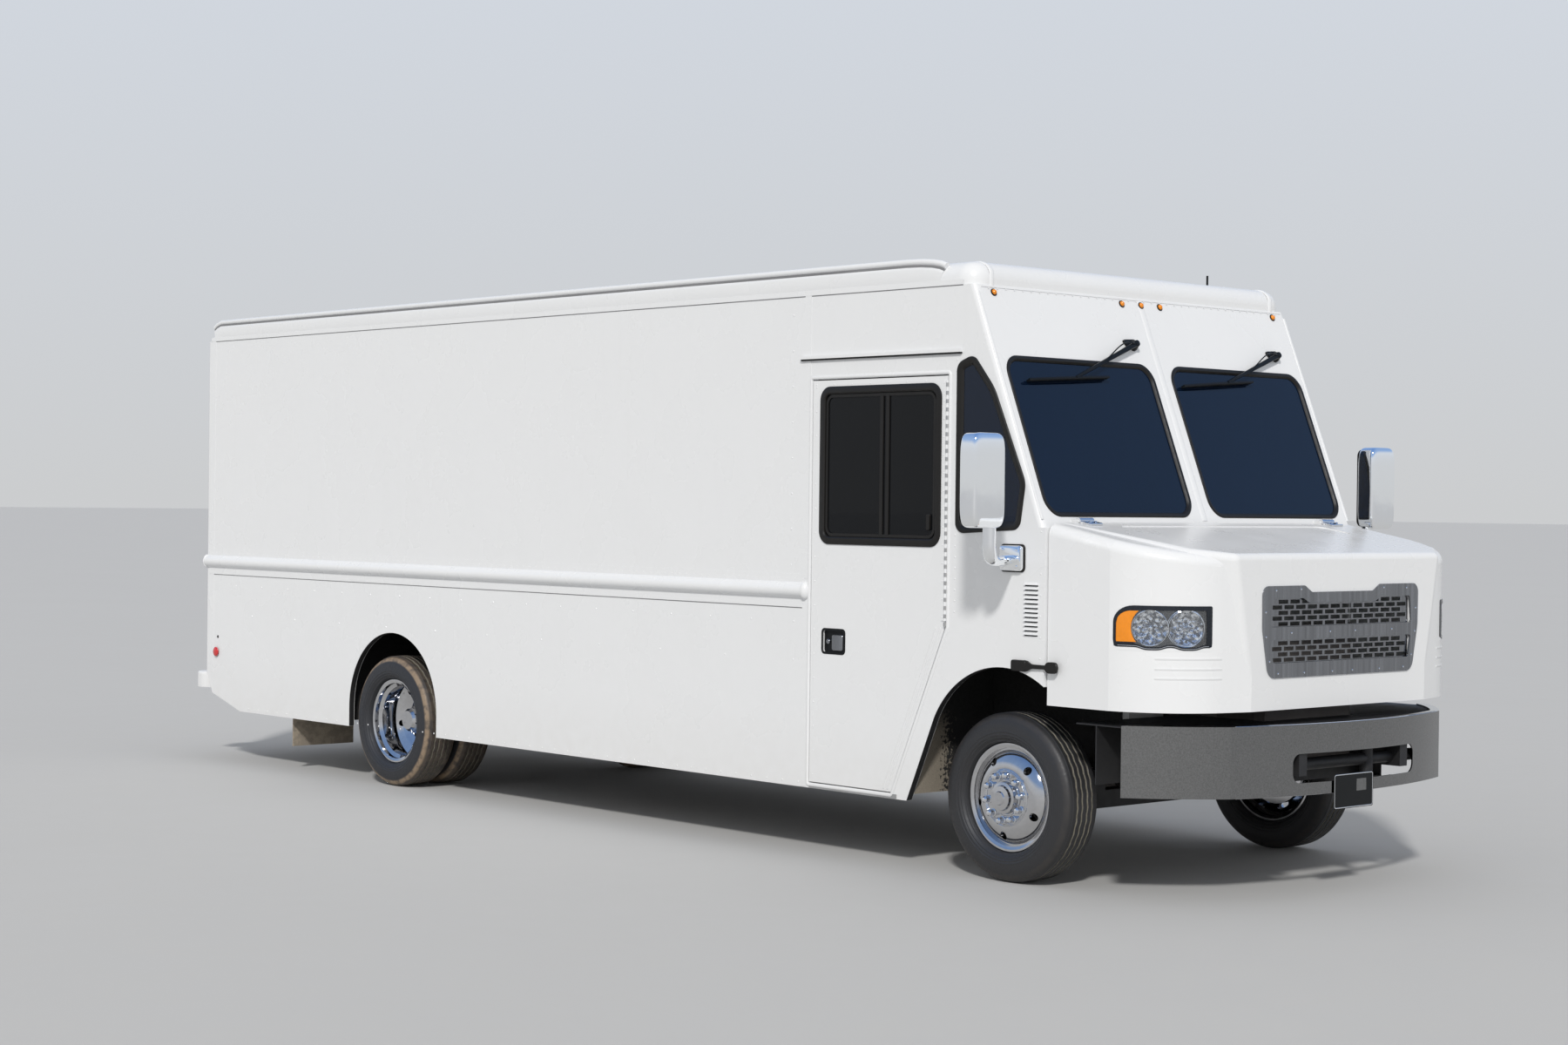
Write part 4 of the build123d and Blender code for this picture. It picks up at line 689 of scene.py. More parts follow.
def carried(profile: Array, path: Array, normal: Array, closed: bool = False) -> Shape:
    """Carry a closed profile along a path.

    Each path point gets the profile in the plane of two directions: the cross product of the
    tangent and the normal for the profile's first number, and the normal for its second.

    Args:
        profile: (n, 2) points of the closed profile.
        path: (m, 3) points.
        normal: direction that the profile's second number follows.
        closed: the path comes back to its start.

    Returns:
        The surface, with flat ends on an open path.
    """
    along = tangents(path, closed)
    normal = np.broadcast_to(np.asarray(normal, float), path.shape)
    across = unit(np.cross(along, normal))
    up = unit(np.cross(across, along))
    grid = (
        path[:, None]
        + profile[None, :, :1] * across[:, None]
        + profile[None, :, 1:] * up[:, None]
    )
    count = len(profile)
    area = np.sum(
        profile[:, 0] * np.roll(profile[:, 1], -1) - np.roll(profile[:, 0], -1) * profile[:, 1]
    )
    faces = [quads(len(path), count, closed, True)]
    if not closed:
        faces.append(np.arange(count)[None, :])
        faces.append((len(path) - 1) * count + np.arange(count)[None, ::-1])
    if area > 0:
        faces = [f[:, ::-1] for f in faces]
    return Shape(grid.reshape(-1, 3), faces)


def whole_turn(steps: int) -> Array:
    """Return evenly spaced angles once round."""
    return np.linspace(0.0, 2.0 * np.pi, steps, endpoint=False)


def circle(radius: float, sides: int, second: float | None = None) -> Array:
    """Return a circle, or an ellipse if a second radius is given, as (sides, 2) points."""
    turn = whole_turn(sides)
    return np.stack([radius * np.cos(turn), (second or radius) * np.sin(turn)], -1)


def turned(profile: Array, centre: Array, axis: Array, sides: int) -> Shape:
    """Turn a profile about an axis.

    A profile point (along, radius) goes to centre + along * axis + radius * (cos u * e1 +
    sin u * e2), with u once round.

    Args:
        profile: (n, 2) points, along the axis and out from it.
        centre: a point on the axis.
        axis: direction of the axis.
        sides: steps round the circle.

    Returns:
        The surface, its faces to the left of the profile's direction of travel.
    """
    axis = unit(np.asarray(axis, float))
    helper = Z_AXIS if abs(axis[2]) < 0.9 else X_AXIS
    first = unit(np.cross(axis, helper))
    second = np.cross(axis, first)
    turn = whole_turn(sides)[:, None, None]
    along, out = profile[None, :, :1], profile[None, :, 1:]
    grid = np.asarray(centre) + along * axis + out * (np.cos(turn) * first + np.sin(turn) * second)
    return sheet(grid, True)


def frame_of(normal: Array) -> Array:
    """Return a 3 by 3 matrix whose third row is the normal and whose rows are square to it."""
    normal = unit(np.asarray(normal, float))
    helper = Z_AXIS if abs(normal[2]) < 0.9 else X_AXIS
    first = unit(np.cross(helper, normal))
    return np.stack([first, np.cross(normal, first), normal])


def sleeve(length: float) -> Array:
    """Return the profile of a hinge knuckle."""
    return np.array([[0.0, 0.0], [0.0, 0.0078], [length, 0.0078], [length, 0.0]])


def stamped(shape: Shape, places: Array, normal: Array) -> Shape:
    """Return copies of a small shape, its z along the normal, at many places."""
    turned_points = shape.points @ frame_of(normal)
    count = len(shape.points)
    points = (places[:, None] + turned_points[None]).reshape(-1, 3)
    shift = np.arange(len(places))[:, None, None] * count
    faces = [(f[None] + shift).reshape(-1, f.shape[1]) for f in shape.faces]
    return Shape(points, faces)


def dome(radius: float, height: float, sides: int = 8, rings: int = 3) -> Shape:
    """Return a low dome on the xy plane, its foot sunk: radius * cos t out, height * sin t up."""
    t = np.linspace(0.0, np.pi / 2, rings + 1)[:-1]
    out = np.concatenate([[radius], radius * np.cos(t)])
    up = np.concatenate([[-0.0005], height * np.sin(t)])
    turn = whole_turn(sides)
    grid = points_at(out[:, None] * np.cos(turn), out[:, None] * np.sin(turn), up[:, None])
    count = len(up) * sides
    last = np.arange(count - sides, count)
    cap = np.stack([last, np.roll(last, -1), np.full(sides, count)], -1)
    faces = quads(len(up), sides, False, True)[:, ::-1]
    return Shape(np.concatenate([grid.reshape(-1, 3), [[0.0, 0.0, height]]]), [faces, cap])


def rivets(size: Place, places: Array, normal: Array) -> Shape:
    """Return rivet heads of a size (radius, height) at many places."""
    return stamped(dome(*size, 7, 2), places, normal)


def rows_of(
    rows: list[tuple[float, float, float, float, float]], place: Callable[[Array, Array], Array]
) -> Array:
    """Return evenly spaced places along straight rows.

    Args:
        rows: the two numbers of each row's start, those of its end, and its gap.
        place: function from the two numbers to points.

    Returns:
        The points of all rows, in order.
    """
    made = []
    for a0, b0, a1, b1, gap in rows:
        count = max(2, int(math.hypot(a1 - a0, b1 - b0) / gap))
        made.append(place(np.linspace(a0, a1, count), np.linspace(b0, b1, count)))
    return np.concatenate(made)


def cross_plane(x: float) -> Callable[[Array, Array], Array]:
    """Return the function from (y, z) to the points of the upright plane at x."""
    return lambda y, z: points_at(x, y, z)


def rounded_loop(corners: Array, radius: float | Array, steps: int = 8) -> Array:
    """Return a closed loop with round corners.

    Each corner is replaced by an arc that touches both its edges: the centre lies on the
    corner's bisector at radius / sin(half angle).

    Args:
        corners: (n, 2) points in order.
        radius: one radius, or one for each corner.
        steps: points on each arc.

    Returns:
        (n * steps, 2) points.
    """
    corners = np.asarray(corners, float)
    radius = np.broadcast_to(np.asarray(radius, float), (len(corners),))[:, None]
    back = unit(np.roll(corners, 1, 0) - corners)
    ahead = unit(np.roll(corners, -1, 0) - corners)
    half = 0.5 * np.arccos(np.clip(np.sum(back * ahead, -1, keepdims=True), -1, 1))
    middle = unit(back + ahead)
    centre = corners + middle * radius / np.sin(half)
    start = corners + back * radius / np.tan(half) - centre
    end = corners + ahead * radius / np.tan(half) - centre
    a0 = np.arctan2(start[:, 1], start[:, 0])
    a1 = np.arctan2(end[:, 1], end[:, 0])
    sweep = (a1 - a0 + np.pi) % (2 * np.pi) - np.pi
    t = np.linspace(0, 1, steps)[None, :]
    angle = a0[:, None] + sweep[:, None] * t
    loop = centre[:, None] + radius[:, None] * np.stack([np.cos(angle), np.sin(angle)], -1)
    return loop.reshape(-1, 2)


def box_loop(low: Place, high: Place, radius: float, steps: int = 8) -> Array:
    """Return a rounded rectangle between two corners."""
    return rounded_loop([low, (high[0], low[1]), high, (low[0], high[1])], radius, steps)


def half_box(half_a: float, half_b: float, radius: float, steps: int) -> Array:
    """Return a rounded rectangle round the origin from its half sizes."""
    return box_loop((-half_a, -half_b), (half_a, half_b), radius, steps)


def slab(loop: Array, thickness: float, bevel: float = 0.0) -> Shape:
    """Return a plate with a bevelled upper edge, its outline in xy and its top at z = thickness.

    Args:
        loop: (n, 2) outline, counter-clockwise.
        thickness: height of the plate.
        bevel: width and depth of the bevel.

    Returns:
        The closed plate.
    """
    centre = loop.mean(0)
    inner = loop + unit(centre - loop) * bevel
    rings = [(loop, 0.0), (loop, thickness - bevel), (inner, thickness)]
    points = np.concatenate([points_at(*xy.T, z) for xy, z in rings])
    count = len(loop)
    faces = [
        quads(3, count, False, True)[:, ::-1],
        2 * count + np.arange(count)[None, :],
        np.arange(count)[None, ::-1],
    ]
    return Shape(points, faces)


def placed(shape: Shape, origin: Array, x_axis: Array, y_axis: Array) -> Shape:
    """Return a shape drawn in xy, set at an origin with its own x and y directions."""
    x_axis = unit(np.asarray(x_axis, float))
    y_axis = unit(np.asarray(y_axis, float))
    z_axis = np.cross(x_axis, y_axis)
    points = np.asarray(origin) + shape.points @ np.stack([x_axis, y_axis, z_axis])
    return Shape(points, shape.faces)


def side_plate(
    loop: Array, place: Place, thickness: float, bevel: float = 0.0, proud: float = 0.0
) -> Shape:
    """Return a plate on the right-hand skin, its outline in xz from the given place."""
    return placed(slab(loop, thickness, bevel), on_side(*place, proud), X_AXIS, Z_AXIS)


def ring(
    loop: Array, place: Callable[[Array, Array], Array], normal: Array, profile: Array
) -> Shape:
    """Carry a profile round a closed loop drawn on a plane of the van.

    Args:
        loop: (n, 2) outline, counter-clockwise as seen from outside.
        place: function from the loop's two numbers to points.
        normal: direction out of the plane.
        profile: (m, 2) points: first number away from the loop's middle, second outwards.

    Returns:
        The closed ring.
    """
    return carried(profile, place(loop[:, 0], loop[:, 1]), normal, closed=True)


def bead(width: float, height: float, steps: int = 6, sink: float = 0.001) -> Array:
    """Return a half-round profile: width * cos t / 2 across and height * sin t up."""
    t = np.linspace(0.0, np.pi, steps + 2)
    low = np.array([[-width / 2, -sink], [width / 2, -sink]])
    return np.concatenate([low, np.stack([width / 2 * np.cos(t), height * np.sin(t)], -1)])


def oblong(half: float, low: float, high: float, top: float | None = None) -> Array:
    """Return a flat profile from low to high, its upper half width another if given."""
    upper = top or half
    return np.array([[-half, low], [half, low], [upper, high], [-upper, high]])


def strip(start: Array, end: Array, profile: Array, normal: Array) -> Shape:
    """Carry a profile along the straight line between two points."""
    return carried(profile, np.array([start, end]), normal)


def side_strip(start: Place, end: Place, profile: Array) -> Shape:
    """Carry a profile straight along the right-hand skin between two (x, z) places."""
    return strip(on_side(*start), on_side(*end), profile, OUT)


def circle_through(points: Array) -> tuple[Array, float]:
    """Return the centre and radius of the circle through three points of a plane."""
    a, b, c = points
    rows = 2.0 * np.array([b - a, c - a])
    centre = np.linalg.solve(rows, np.array([b @ b - a @ a, c @ c - a @ a]))
    return centre, float(np.linalg.norm(a - centre))


def outward(shape: Shape) -> Shape:
    """Return a closed shape with its faces outwards.

    The sum of a . (b x c) / 6 over all triangles is the volume, below zero if the shape is
    inside out.
    """
    volume = 0.0
    for block in shape.faces:
        corners = shape.points[block]
        first = corners[:, :1]
        crossed = np.cross(corners[:, 1:-1], corners[:, 2:])
        volume += float(np.sum(first * crossed))
    if volume >= 0.0:
        return shape
    return Shape(shape.points, [f[:, ::-1] for f in shape.faces])


def shell(front: Array, back: Array) -> Shape:
    """Return the closed solid between two grids of the same size, both (rows, columns, 3)."""
    rows, columns = front.shape[:2]
    count = rows * columns
    cells = quads(rows, columns)
    index = np.arange(count).reshape(rows, columns)
    edge = np.concatenate([index[0, :-1], index[:-1, -1], index[-1, :0:-1], index[:0:-1, 0]])
    ahead = np.roll(edge, -1)
    wall = np.stack([edge, ahead, ahead + count, edge + count], -1)
    points = np.concatenate([front.reshape(-1, 3), back.reshape(-1, 3)])
    return outward(Shape(points, [cells[:, ::-1], cells + count, wall]))


def pillow(size: tuple[float, float, float], power: float) -> Shape:
    """Return a superellipsoid on the origin.

    With s(w) = sign(w) |w| ** power, a point is (a s(cos u) s(cos v), b s(sin u) s(cos v),
    c s(sin v)) / 2 for the size (a, b, c); a small power gives flat sides and tight corners.
    """
    u = np.linspace(-np.pi, np.pi, 48, endpoint=False)[:, None]
    v = np.linspace(-np.pi / 2, np.pi / 2, 25)

    def soft(w: Array) -> Array:
        """Return |w| ** power with the sign of w."""
        return np.sign(w) * np.abs(w) ** power

    x = size[0] / 2 * soft(np.cos(u)) * soft(np.cos(v))
    y = size[1] / 2 * soft(np.sin(u)) * soft(np.cos(v))
    z = size[2] / 2 * soft(np.sin(v))
    return outward(sheet(points_at(x, y, z), True))


def on_corner(angle: Array | float, z: Array | float, inset: float = 0.0) -> Array:
    """Return points of the nose's right-hand corner, at angles round its centre and heights."""
    centre, radius = circle_through(CHEEK_ARC)
    reach = radius - inset
    return points_at(centre[0] + reach * np.cos(angle), -centre[1] - reach * np.sin(angle), z)


def corner_angle(x: float, off: float) -> float:
    """Return the angle of a place in plan, round the centre of the nose's corner."""
    centre = circle_through(CHEEK_ARC)[0]
    return math.atan2(off - centre[1], x - centre[0])


def paint_nodes(frame: dict) -> None:
    """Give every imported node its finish.
    """
    chosen = {
        Finishes.PAINT: (
            "body_side_left body_side_right cab_front cab_side_left cab_side_right door_left "
            "door_right hood roof rear_frame rear_door_left rear_door_right rear_bumper"
        ),
        Finishes.INNER: "dash_wall step_wells engine_cover",
        Finishes.LINER: "wheelhouses",
        Finishes.FLOOR_SHEET: "floor cab_floor",
        Finishes.WINDSCREEN: "cab_glass",
        Finishes.SIDE_GLASS: "door_window_left door_window_right",
        # front_apron: a black panel behind the bumper, partly the real black undertray and partly
        # painted shade of the gap under the nose
        Finishes.CHASSIS: (
            "chassis_frame leaf_springs fuel_tank drive_shaft rear_axle front_axle front_apron"
        ),
        Finishes.CASTING: "engine_block knuckle_left knuckle_right radiator",
        Finishes.EXHAUST: "exhaust",
        Finishes.WHEEL: "front_rim_left front_rim_right rear_rims_left rear_rims_right",
        Finishes.BUMPER: "front_bumper",
        Finishes.STEEL: "grille",
        Finishes.CHROME: "mirrors",
        Finishes.AMBER: "amber_lamps",
        Finishes.RED: "red_lamps",
        Finishes.LENS: "headlamps",
        Finishes.PLASTIC: "dashboard steering_wheel wipers roof_aerials",
        Finishes.SEAT: "driver_seat",
        Finishes.FRONT_TREAD: "front_tyre_left front_tyre_right",
        Finishes.REAR_TREAD: "rear_tyres_left rear_tyres_right",
        Finishes.FLAP: "mud_flaps",
    }
    for finish, names in chosen.items():
        for name in names.split():
            node = frame["nodes"][name]
            node.data.materials.clear()
            node.data.materials.append(finish.value.material())


@dataclass(frozen=True)
class PhotoCamera:
    """The photograph's camera: where it stands, how it is turned and its lens."""

    location: tuple[float, float, float] = (11.7355, -10.2139, 1.8267)
    yaw: float = 138.0284
    pitch: float = -0.4597
    roll: float = -0.6706
    lens: float = 58.945
    sensor: float = 36.0

    def place(self) -> None:
        """Add the camera and make it the scene's own."""
        yaw, pitch, roll = (math.radians(a) for a in (self.yaw, self.pitch, self.roll))
        ahead = np.array(
            [math.cos(pitch) * math.cos(yaw), math.cos(pitch) * math.sin(yaw), math.sin(pitch)]
        )
        level = unit(np.cross(ahead, Z_AXIS))
        below = np.cross(ahead, level)
        right = math.cos(roll) * level + math.sin(roll) * below
        down = -math.sin(roll) * level + math.cos(roll) * below
        matrix = np.eye(4)
        matrix[:3, 0] = right
        matrix[:3, 1] = -down
        matrix[:3, 2] = -ahead
        matrix[:3, 3] = self.location
        data = bpy.data.cameras.new("photo_camera")
        data.lens = self.lens
        data.sensor_width = self.sensor
        camera = bpy.data.objects.new("photo_camera", data)
        camera.matrix_world = Matrix(matrix.tolist())
        bpy.context.scene.collection.objects.link(camera)
        bpy.context.scene.camera = camera


@dataclass(frozen=True)
class Studio:
    """A pale floor, an even world and a soft sun."""

    floor_reach: float = 300.0
    sun: float = 2.25
    sun_from: tuple[float, float, float] = (0.62, -0.67, 0.69)
    # columns: height on the sky's unit sphere, colour
    sky: tuple[tuple[float, Colour], ...] = (
        (0.0, (0.60, 0.61, 0.62)),
        (0.20, (0.64, 0.68, 0.74)),
        (0.36, (0.30, 0.44, 0.70)),
        (1.0, (0.14, 0.27, 0.58)),
    )
    # the same for the light that falls on the surfaces
    fill: tuple[tuple[float, Colour], ...] = (
        (0.0, (0.81, 0.81, 0.81)),
        (1.0, (0.43, 0.44, 0.46)),
    )

    def build(self) -> None:
        """Add the floor, the world and the lamp, and set the plain view transform."""
        bpy.context.scene.view_settings.view_transform = "Standard"
        reach = self.floor_reach
        corners = [(-reach, -reach, 0), (reach, -reach, 0), (reach, reach, 0), (-reach, reach, 0)]
        mesh = bpy.data.meshes.new("studio_floor")
        mesh.from_pydata(corners, [], [(0, 1, 2, 3)])
        mesh.materials.append(Finishes.STUDIO_FLOOR.value.material())
        floor = bpy.data.objects.new("studio_floor", mesh)
        bpy.context.scene.collection.objects.link(floor)
        self.light_world()
        lamp = bpy.data.lights.new("sun", "SUN")
        lamp.energy = self.sun
        lamp.angle = math.radians(5.0)
        lamp.color = (1.0, 0.975, 0.94)
        sun = bpy.data.objects.new("sun", lamp)
        sun.matrix_world = Matrix(frame_of(self.sun_from).T.tolist()).to_4x4()
        bpy.context.scene.collection.objects.link(sun)

    def light_world(self) -> None:
        """Set the world: an even fill on the surfaces, a blue sky where it is seen or mirrored."""
        world = bpy.data.worlds.new("studio")
        world.use_nodes = True
        bpy.context.scene.world = world
        tree = world.node_tree
        coord = tree.nodes.new("ShaderNodeTexCoord")
        split = tree.nodes.new("ShaderNodeSeparateXYZ")
        tree.links.new(coord.outputs["Generated"], split.inputs[0])
        ramps = []
        for table in (self.fill, self.sky):
            ramp = tree.nodes.new("ShaderNodeValToRGB")
            stops = ramp.color_ramp.elements
            while len(stops) < len(table):
                stops.new(0.5)
            for stop, (height, colour) in zip(stops, table):
                stop.position = height
                stop.color = (*colour, 1.0)
            tree.links.new(split.outputs["Z"], ramp.inputs["Fac"])
            ramps.append(ramp.outputs["Color"])
        rays = tree.nodes.new("ShaderNodeLightPath")
        seen = rays.outputs["Is Camera Ray"]
        for kind in ("Is Glossy Ray", "Is Transmission Ray"):
            either = tree.nodes.new("ShaderNodeMath")
            either.operation = "MAXIMUM"
            tree.links.new(seen, either.inputs[0])
            tree.links.new(rays.outputs[kind], either.inputs[1])
            seen = either.outputs["Value"]
        mix = tree.nodes.new("ShaderNodeMix")
        mix.data_type = "RGBA"
        tree.links.new(seen, mix.inputs["Factor"])
        for ramp, socket in zip(ramps, [s for s in mix.inputs if s.type == "RGBA"]):
            tree.links.new(ramp, socket)
        colour = [s for s in mix.outputs if s.type == "RGBA"][0]
        tree.links.new(colour, tree.nodes["Background"].inputs["Color"])


class BoxBody:
    """Rivets, mouldings and caps of the load body and the cab sides."""

    rail_low_z = 1.322
    rail_high_z = 1.412
    front_x = SEAM_X - 0.03
    rear_x = BODY_REAR_X + 0.05
    louvre_rows = np.linspace(1.216, 1.452, 12)

    def rivet_rows(self) -> Array:
        """Return every rivet's place on the right-hand skin."""
        rear = BODY_REAR_X + 0.075
        # columns: start x, start z, end x, end z, gap
        rows = [
            (rear, 2.910, 3.01, 2.910, 0.075),
            (rear, self.rail_high_z + 0.016, self.front_x, self.rail_high_z + 0.016, 0.062),
            (rear, self.rail_low_z - 0.016, self.front_x, self.rail_low_z - 0.016, 0.062),
            (rear, 1.205, SEAM_X - 0.1, 1.205, 0.31),
            (rear, 1.005, SEAM_X - 0.1, 1.005, 0.47),
            (SEAM_X - 0.014, 1.45, SEAM_X - 0.014, 2.85, 0.045),
            (SEAM_X - 0.014, 0.38, SEAM_X - 0.014, 1.28, 0.045),
            (SEAM_X - 0.125, 1.50, SEAM_X - 0.125, 2.80, 0.15),
            (rear + 0.01, 0.62, rear + 0.01, 2.85, 0.06),
            (-3.70, 0.372, SEAM_X - 0.05, 0.372, 0.12),
            (2.985, 1.30, 2.985, 2.53, 0.05),
            (3.55, 1.10, 3.55, 1.70, 0.08),
        ]
        return rows_of(rows, on_side)

    def build(self) -> None:
        """Make the pieces of both sides."""
        heads = rivets(BODY_RIVET, self.rivet_rows(), OUT)
        heads.both().piece("side_rivets", Finishes.PAINT)
        self.seams().both().piece("side_seams", Finishes.PAINT)
        # grey strips of painted shadow under the roof moulding and under the laps
        (self.gutter_shadow() + self.lap_shadow_lines()).both().piece(
            "roof_gutters", Finishes.SEALANT, slot="black_rubber"
        )
        self.moulding().both().piece("roof_mouldings", Finishes.PAINT)
        self.rail_ends().both().piece("rub_rail_ends", Finishes.PAINT)
        self.louvres().both().piece("cowl_louvres", Finishes.PAINT)
        # black strips of painted shade in the louvre openings
        self.slit_shade().both().piece("louvre_slits", Finishes.PLASTIC, slot="black_plastic")
        self.drip_seals().both().piece("drip_rail_seals", Finishes.RUBBER, slot="black_rubber")
        self.sills().both().piece("door_sills", Finishes.ALUMINIUM, slot="bumper_chrome")
        self.arch_edges().both().piece("arch_edges", Finishes.CHASSIS, slot="chassis_black")

    def seams(self) -> Shape:
        """Return the lapped joints: low strips over the sheets' edges."""
        # columns: start x, start z, end x, end z, thickness, half width
        runs = [
            (SEAM_X - 0.01, 1.43, SEAM_X - 0.01, 2.898, 0.0016, 0.024),
            (SEAM_X - 0.01, 0.352, SEAM_X - 0.01, 1.30, 0.0016, 0.024),
            (BODY_REAR_X + 0.08, 0.60, BODY_REAR_X + 0.08, 2.898, 0.0016, 0.026),
            (self.rear_x, 1.428, self.front_x, 1.428, 0.0013, 0.026),
            (self.rear_x, 1.303, self.front_x, 1.303, 0.0024, 0.023),
            (self.rear_x, 2.909, 3.02, 2.909, 0.0024, 0.013),
        ]
        return joined(
            [
                side_strip((x0, z0), (x1, z1), oblong(half, -0.001, thick))
                for x0, z0, x1, z1, thick, half in runs
            ]
        )

    def lap_shadow_lines(self) -> Shape:
        """Return the grey lines under the lower laps: painted shadow below the laps' edges."""
        flat = oblong(0.0025, -0.001, 0.0008)
        low = side_strip((self.rear_x, 1.2775), (self.front_x, 1.2775), flat)
        return low + side_strip((self.rear_x, 2.8935), (3.02, 2.8935), flat)

    def roof_edge(self, section: Array) -> Shape:
        """Carry a section of (y, z) points along the roof's side, its ends sunk into the roof.

        Args:
            section: the closed section on the right-hand side.

        Returns:
            The piece from the tail to the cab.
        """
        profile = np.stack([3.0 - section[:, 1], -1.2 - section[:, 0]], -1)
        rear_x = BODY_REAR_X + np.array([0.075, 0.11, 0.16])
        x = np.concatenate([rear_x, [2.62, 2.72, 2.80, 2.85, 2.88]])
        z = 3.0 - np.array([0.030, 0.012, 0.0, 0.0, 0.003, 0.010, 0.019, 0.030])
        return carried(profile, points_at(x, -1.2, z), OUT)

    def gutter_shadow(self) -> Shape:
        """Return the grey strip under the roof moulding: painted shadow in the gutter under its bead.
        """
        return self.roof_edge(
            np.array([(-1.2128, 2.9985), (-1.2128, 3.0125), (-1.2050, 3.0125), (-1.2050, 2.9985)])
        )

    def moulding(self) -> Shape:
        """Return the roof's rolled edge: an upright flange with a bead of radius 0.0165 on top."""
        turn = np.radians(np.linspace(-50.0, 165.0, 12))
        roll = np.stack([-1.200 - 0.0165 * np.cos(turn), 3.026 + 0.0165 * np.sin(turn)], -1)
        flange = [
            (-1.2150, 2.9225), (-1.2190, 2.9225), (-1.2205, 2.930), (-1.2205, 2.985),
            (-1.2190, 2.994), (-1.2150, 2.9985), (-1.2110, 2.9995), (-1.2110, 3.0110),
        ]
        back = [(-1.172, 3.019), (-1.140, 3.0138), (-1.131, 3.0125), (-1.131, 2.990), (-1.195, 2.940)]
        return self.roof_edge(np.array([*flange, *roll.tolist(), *back]))

    def rail_ends(self) -> Shape:
        """Return the rounded end caps of the rub rail: ellipsoids half sunk in its ends.

        A point is (r cos a cos b, 0.033 sin a cos b, 0.047 sin b) from the rail's end, with
        r = 0.010 at the rear, clear of the open door, and 0.030 at the front.
        """
        a = whole_turn(24)[:, None]
        b = np.linspace(-np.pi / 2, np.pi / 2, 13)
        y = -HALF_WIDTH + 0.033 * np.sin(a) * np.cos(b)
        z = 1.367 + 0.047 * np.sin(b)
        ends = []
        for x, reach in ((BODY_REAR_X + 0.012, 0.010), (SEAM_X - 0.012, 0.030)):
            grid = points_at(x + reach * np.cos(a) * np.cos(b), y, z)
            ends.append(outward(sheet(grid, True)))
        return joined(ends)

    def louvres(self) -> Shape:
        """Return the stack of pressed louvres on the cowl side, each a leaning wedge."""
        profile = np.array([[-0.008, -0.001], [0.005, -0.001], [0.005, 0.0105], [0.002, 0.0095]])
        return joined([side_strip((3.450, z), (3.536, z), profile) for z in self.louvre_rows])

    def slit_shade(self) -> Shape:
        """Return the black strips under the louvres: painted shade in their openings."""
        flat = oblong(0.003, -0.001, 0.0012)
        rows = self.louvre_rows - 0.0085
        return joined([side_strip((3.452, z), (3.534, z), flat) for z in rows])

    def drip_seals(self) -> Shape:
        """Return the dark sealing line under the drip rail over the door."""
        return side_strip((1.866, 2.563), (3.018, 2.563), oblong(0.004, -0.001, 0.012))

    def arch_edges(self) -> Shape:
        """Return the black linings of the arches, from 2 mm behind the skin inwards.

        The rear arch is a half circle, radius 0.495, with straight legs; the front one runs from
        its toe at the skirt up an arc of radius 0.510 to the dash wall.
        """
        linings = []
        turn = np.linspace(np.pi, 0.0, 60)
        rear = np.stack([REAR_X + 0.036 + 0.495 * np.cos(turn), 0.477 + 0.495 * np.sin(turn)], -1)
        rear = np.concatenate([[(rear[0, 0], 0.350)], rear, [(rear[-1, 0], 0.350)]])
        turn = np.linspace(math.radians(152.0), math.acos((DASH_X - FRONT_X - 0.045) / 0.510), 60)
        front = np.stack([FRONT_X + 0.045 + 0.510 * np.cos(turn), 0.537 + 0.510 * np.sin(turn)], -1)
        front = np.concatenate([[(FRONT_X - 0.591, 0.350)], front])
        for outline in (rear, front):
            along = tangents(outline, False)
            inwards = np.stack([along[:, 1], -along[:, 0]], -1)
            rows = []
            for off in (0.0017, 0.0004):
                x, z = (outline + off * inwards).T
                rows.append(np.stack([on_side(x, z, -0.0015), on_side(x, z, -0.036)], 1))
            linings.append(shell(rows[0], rows[1]))
        return joined(linings)

    def sills(self) -> Shape:
        """Return the aluminium strip under the side door."""
        return side_strip((1.955, 0.361), (2.60, 0.361), oblong(0.011, 0.0, 0.004))


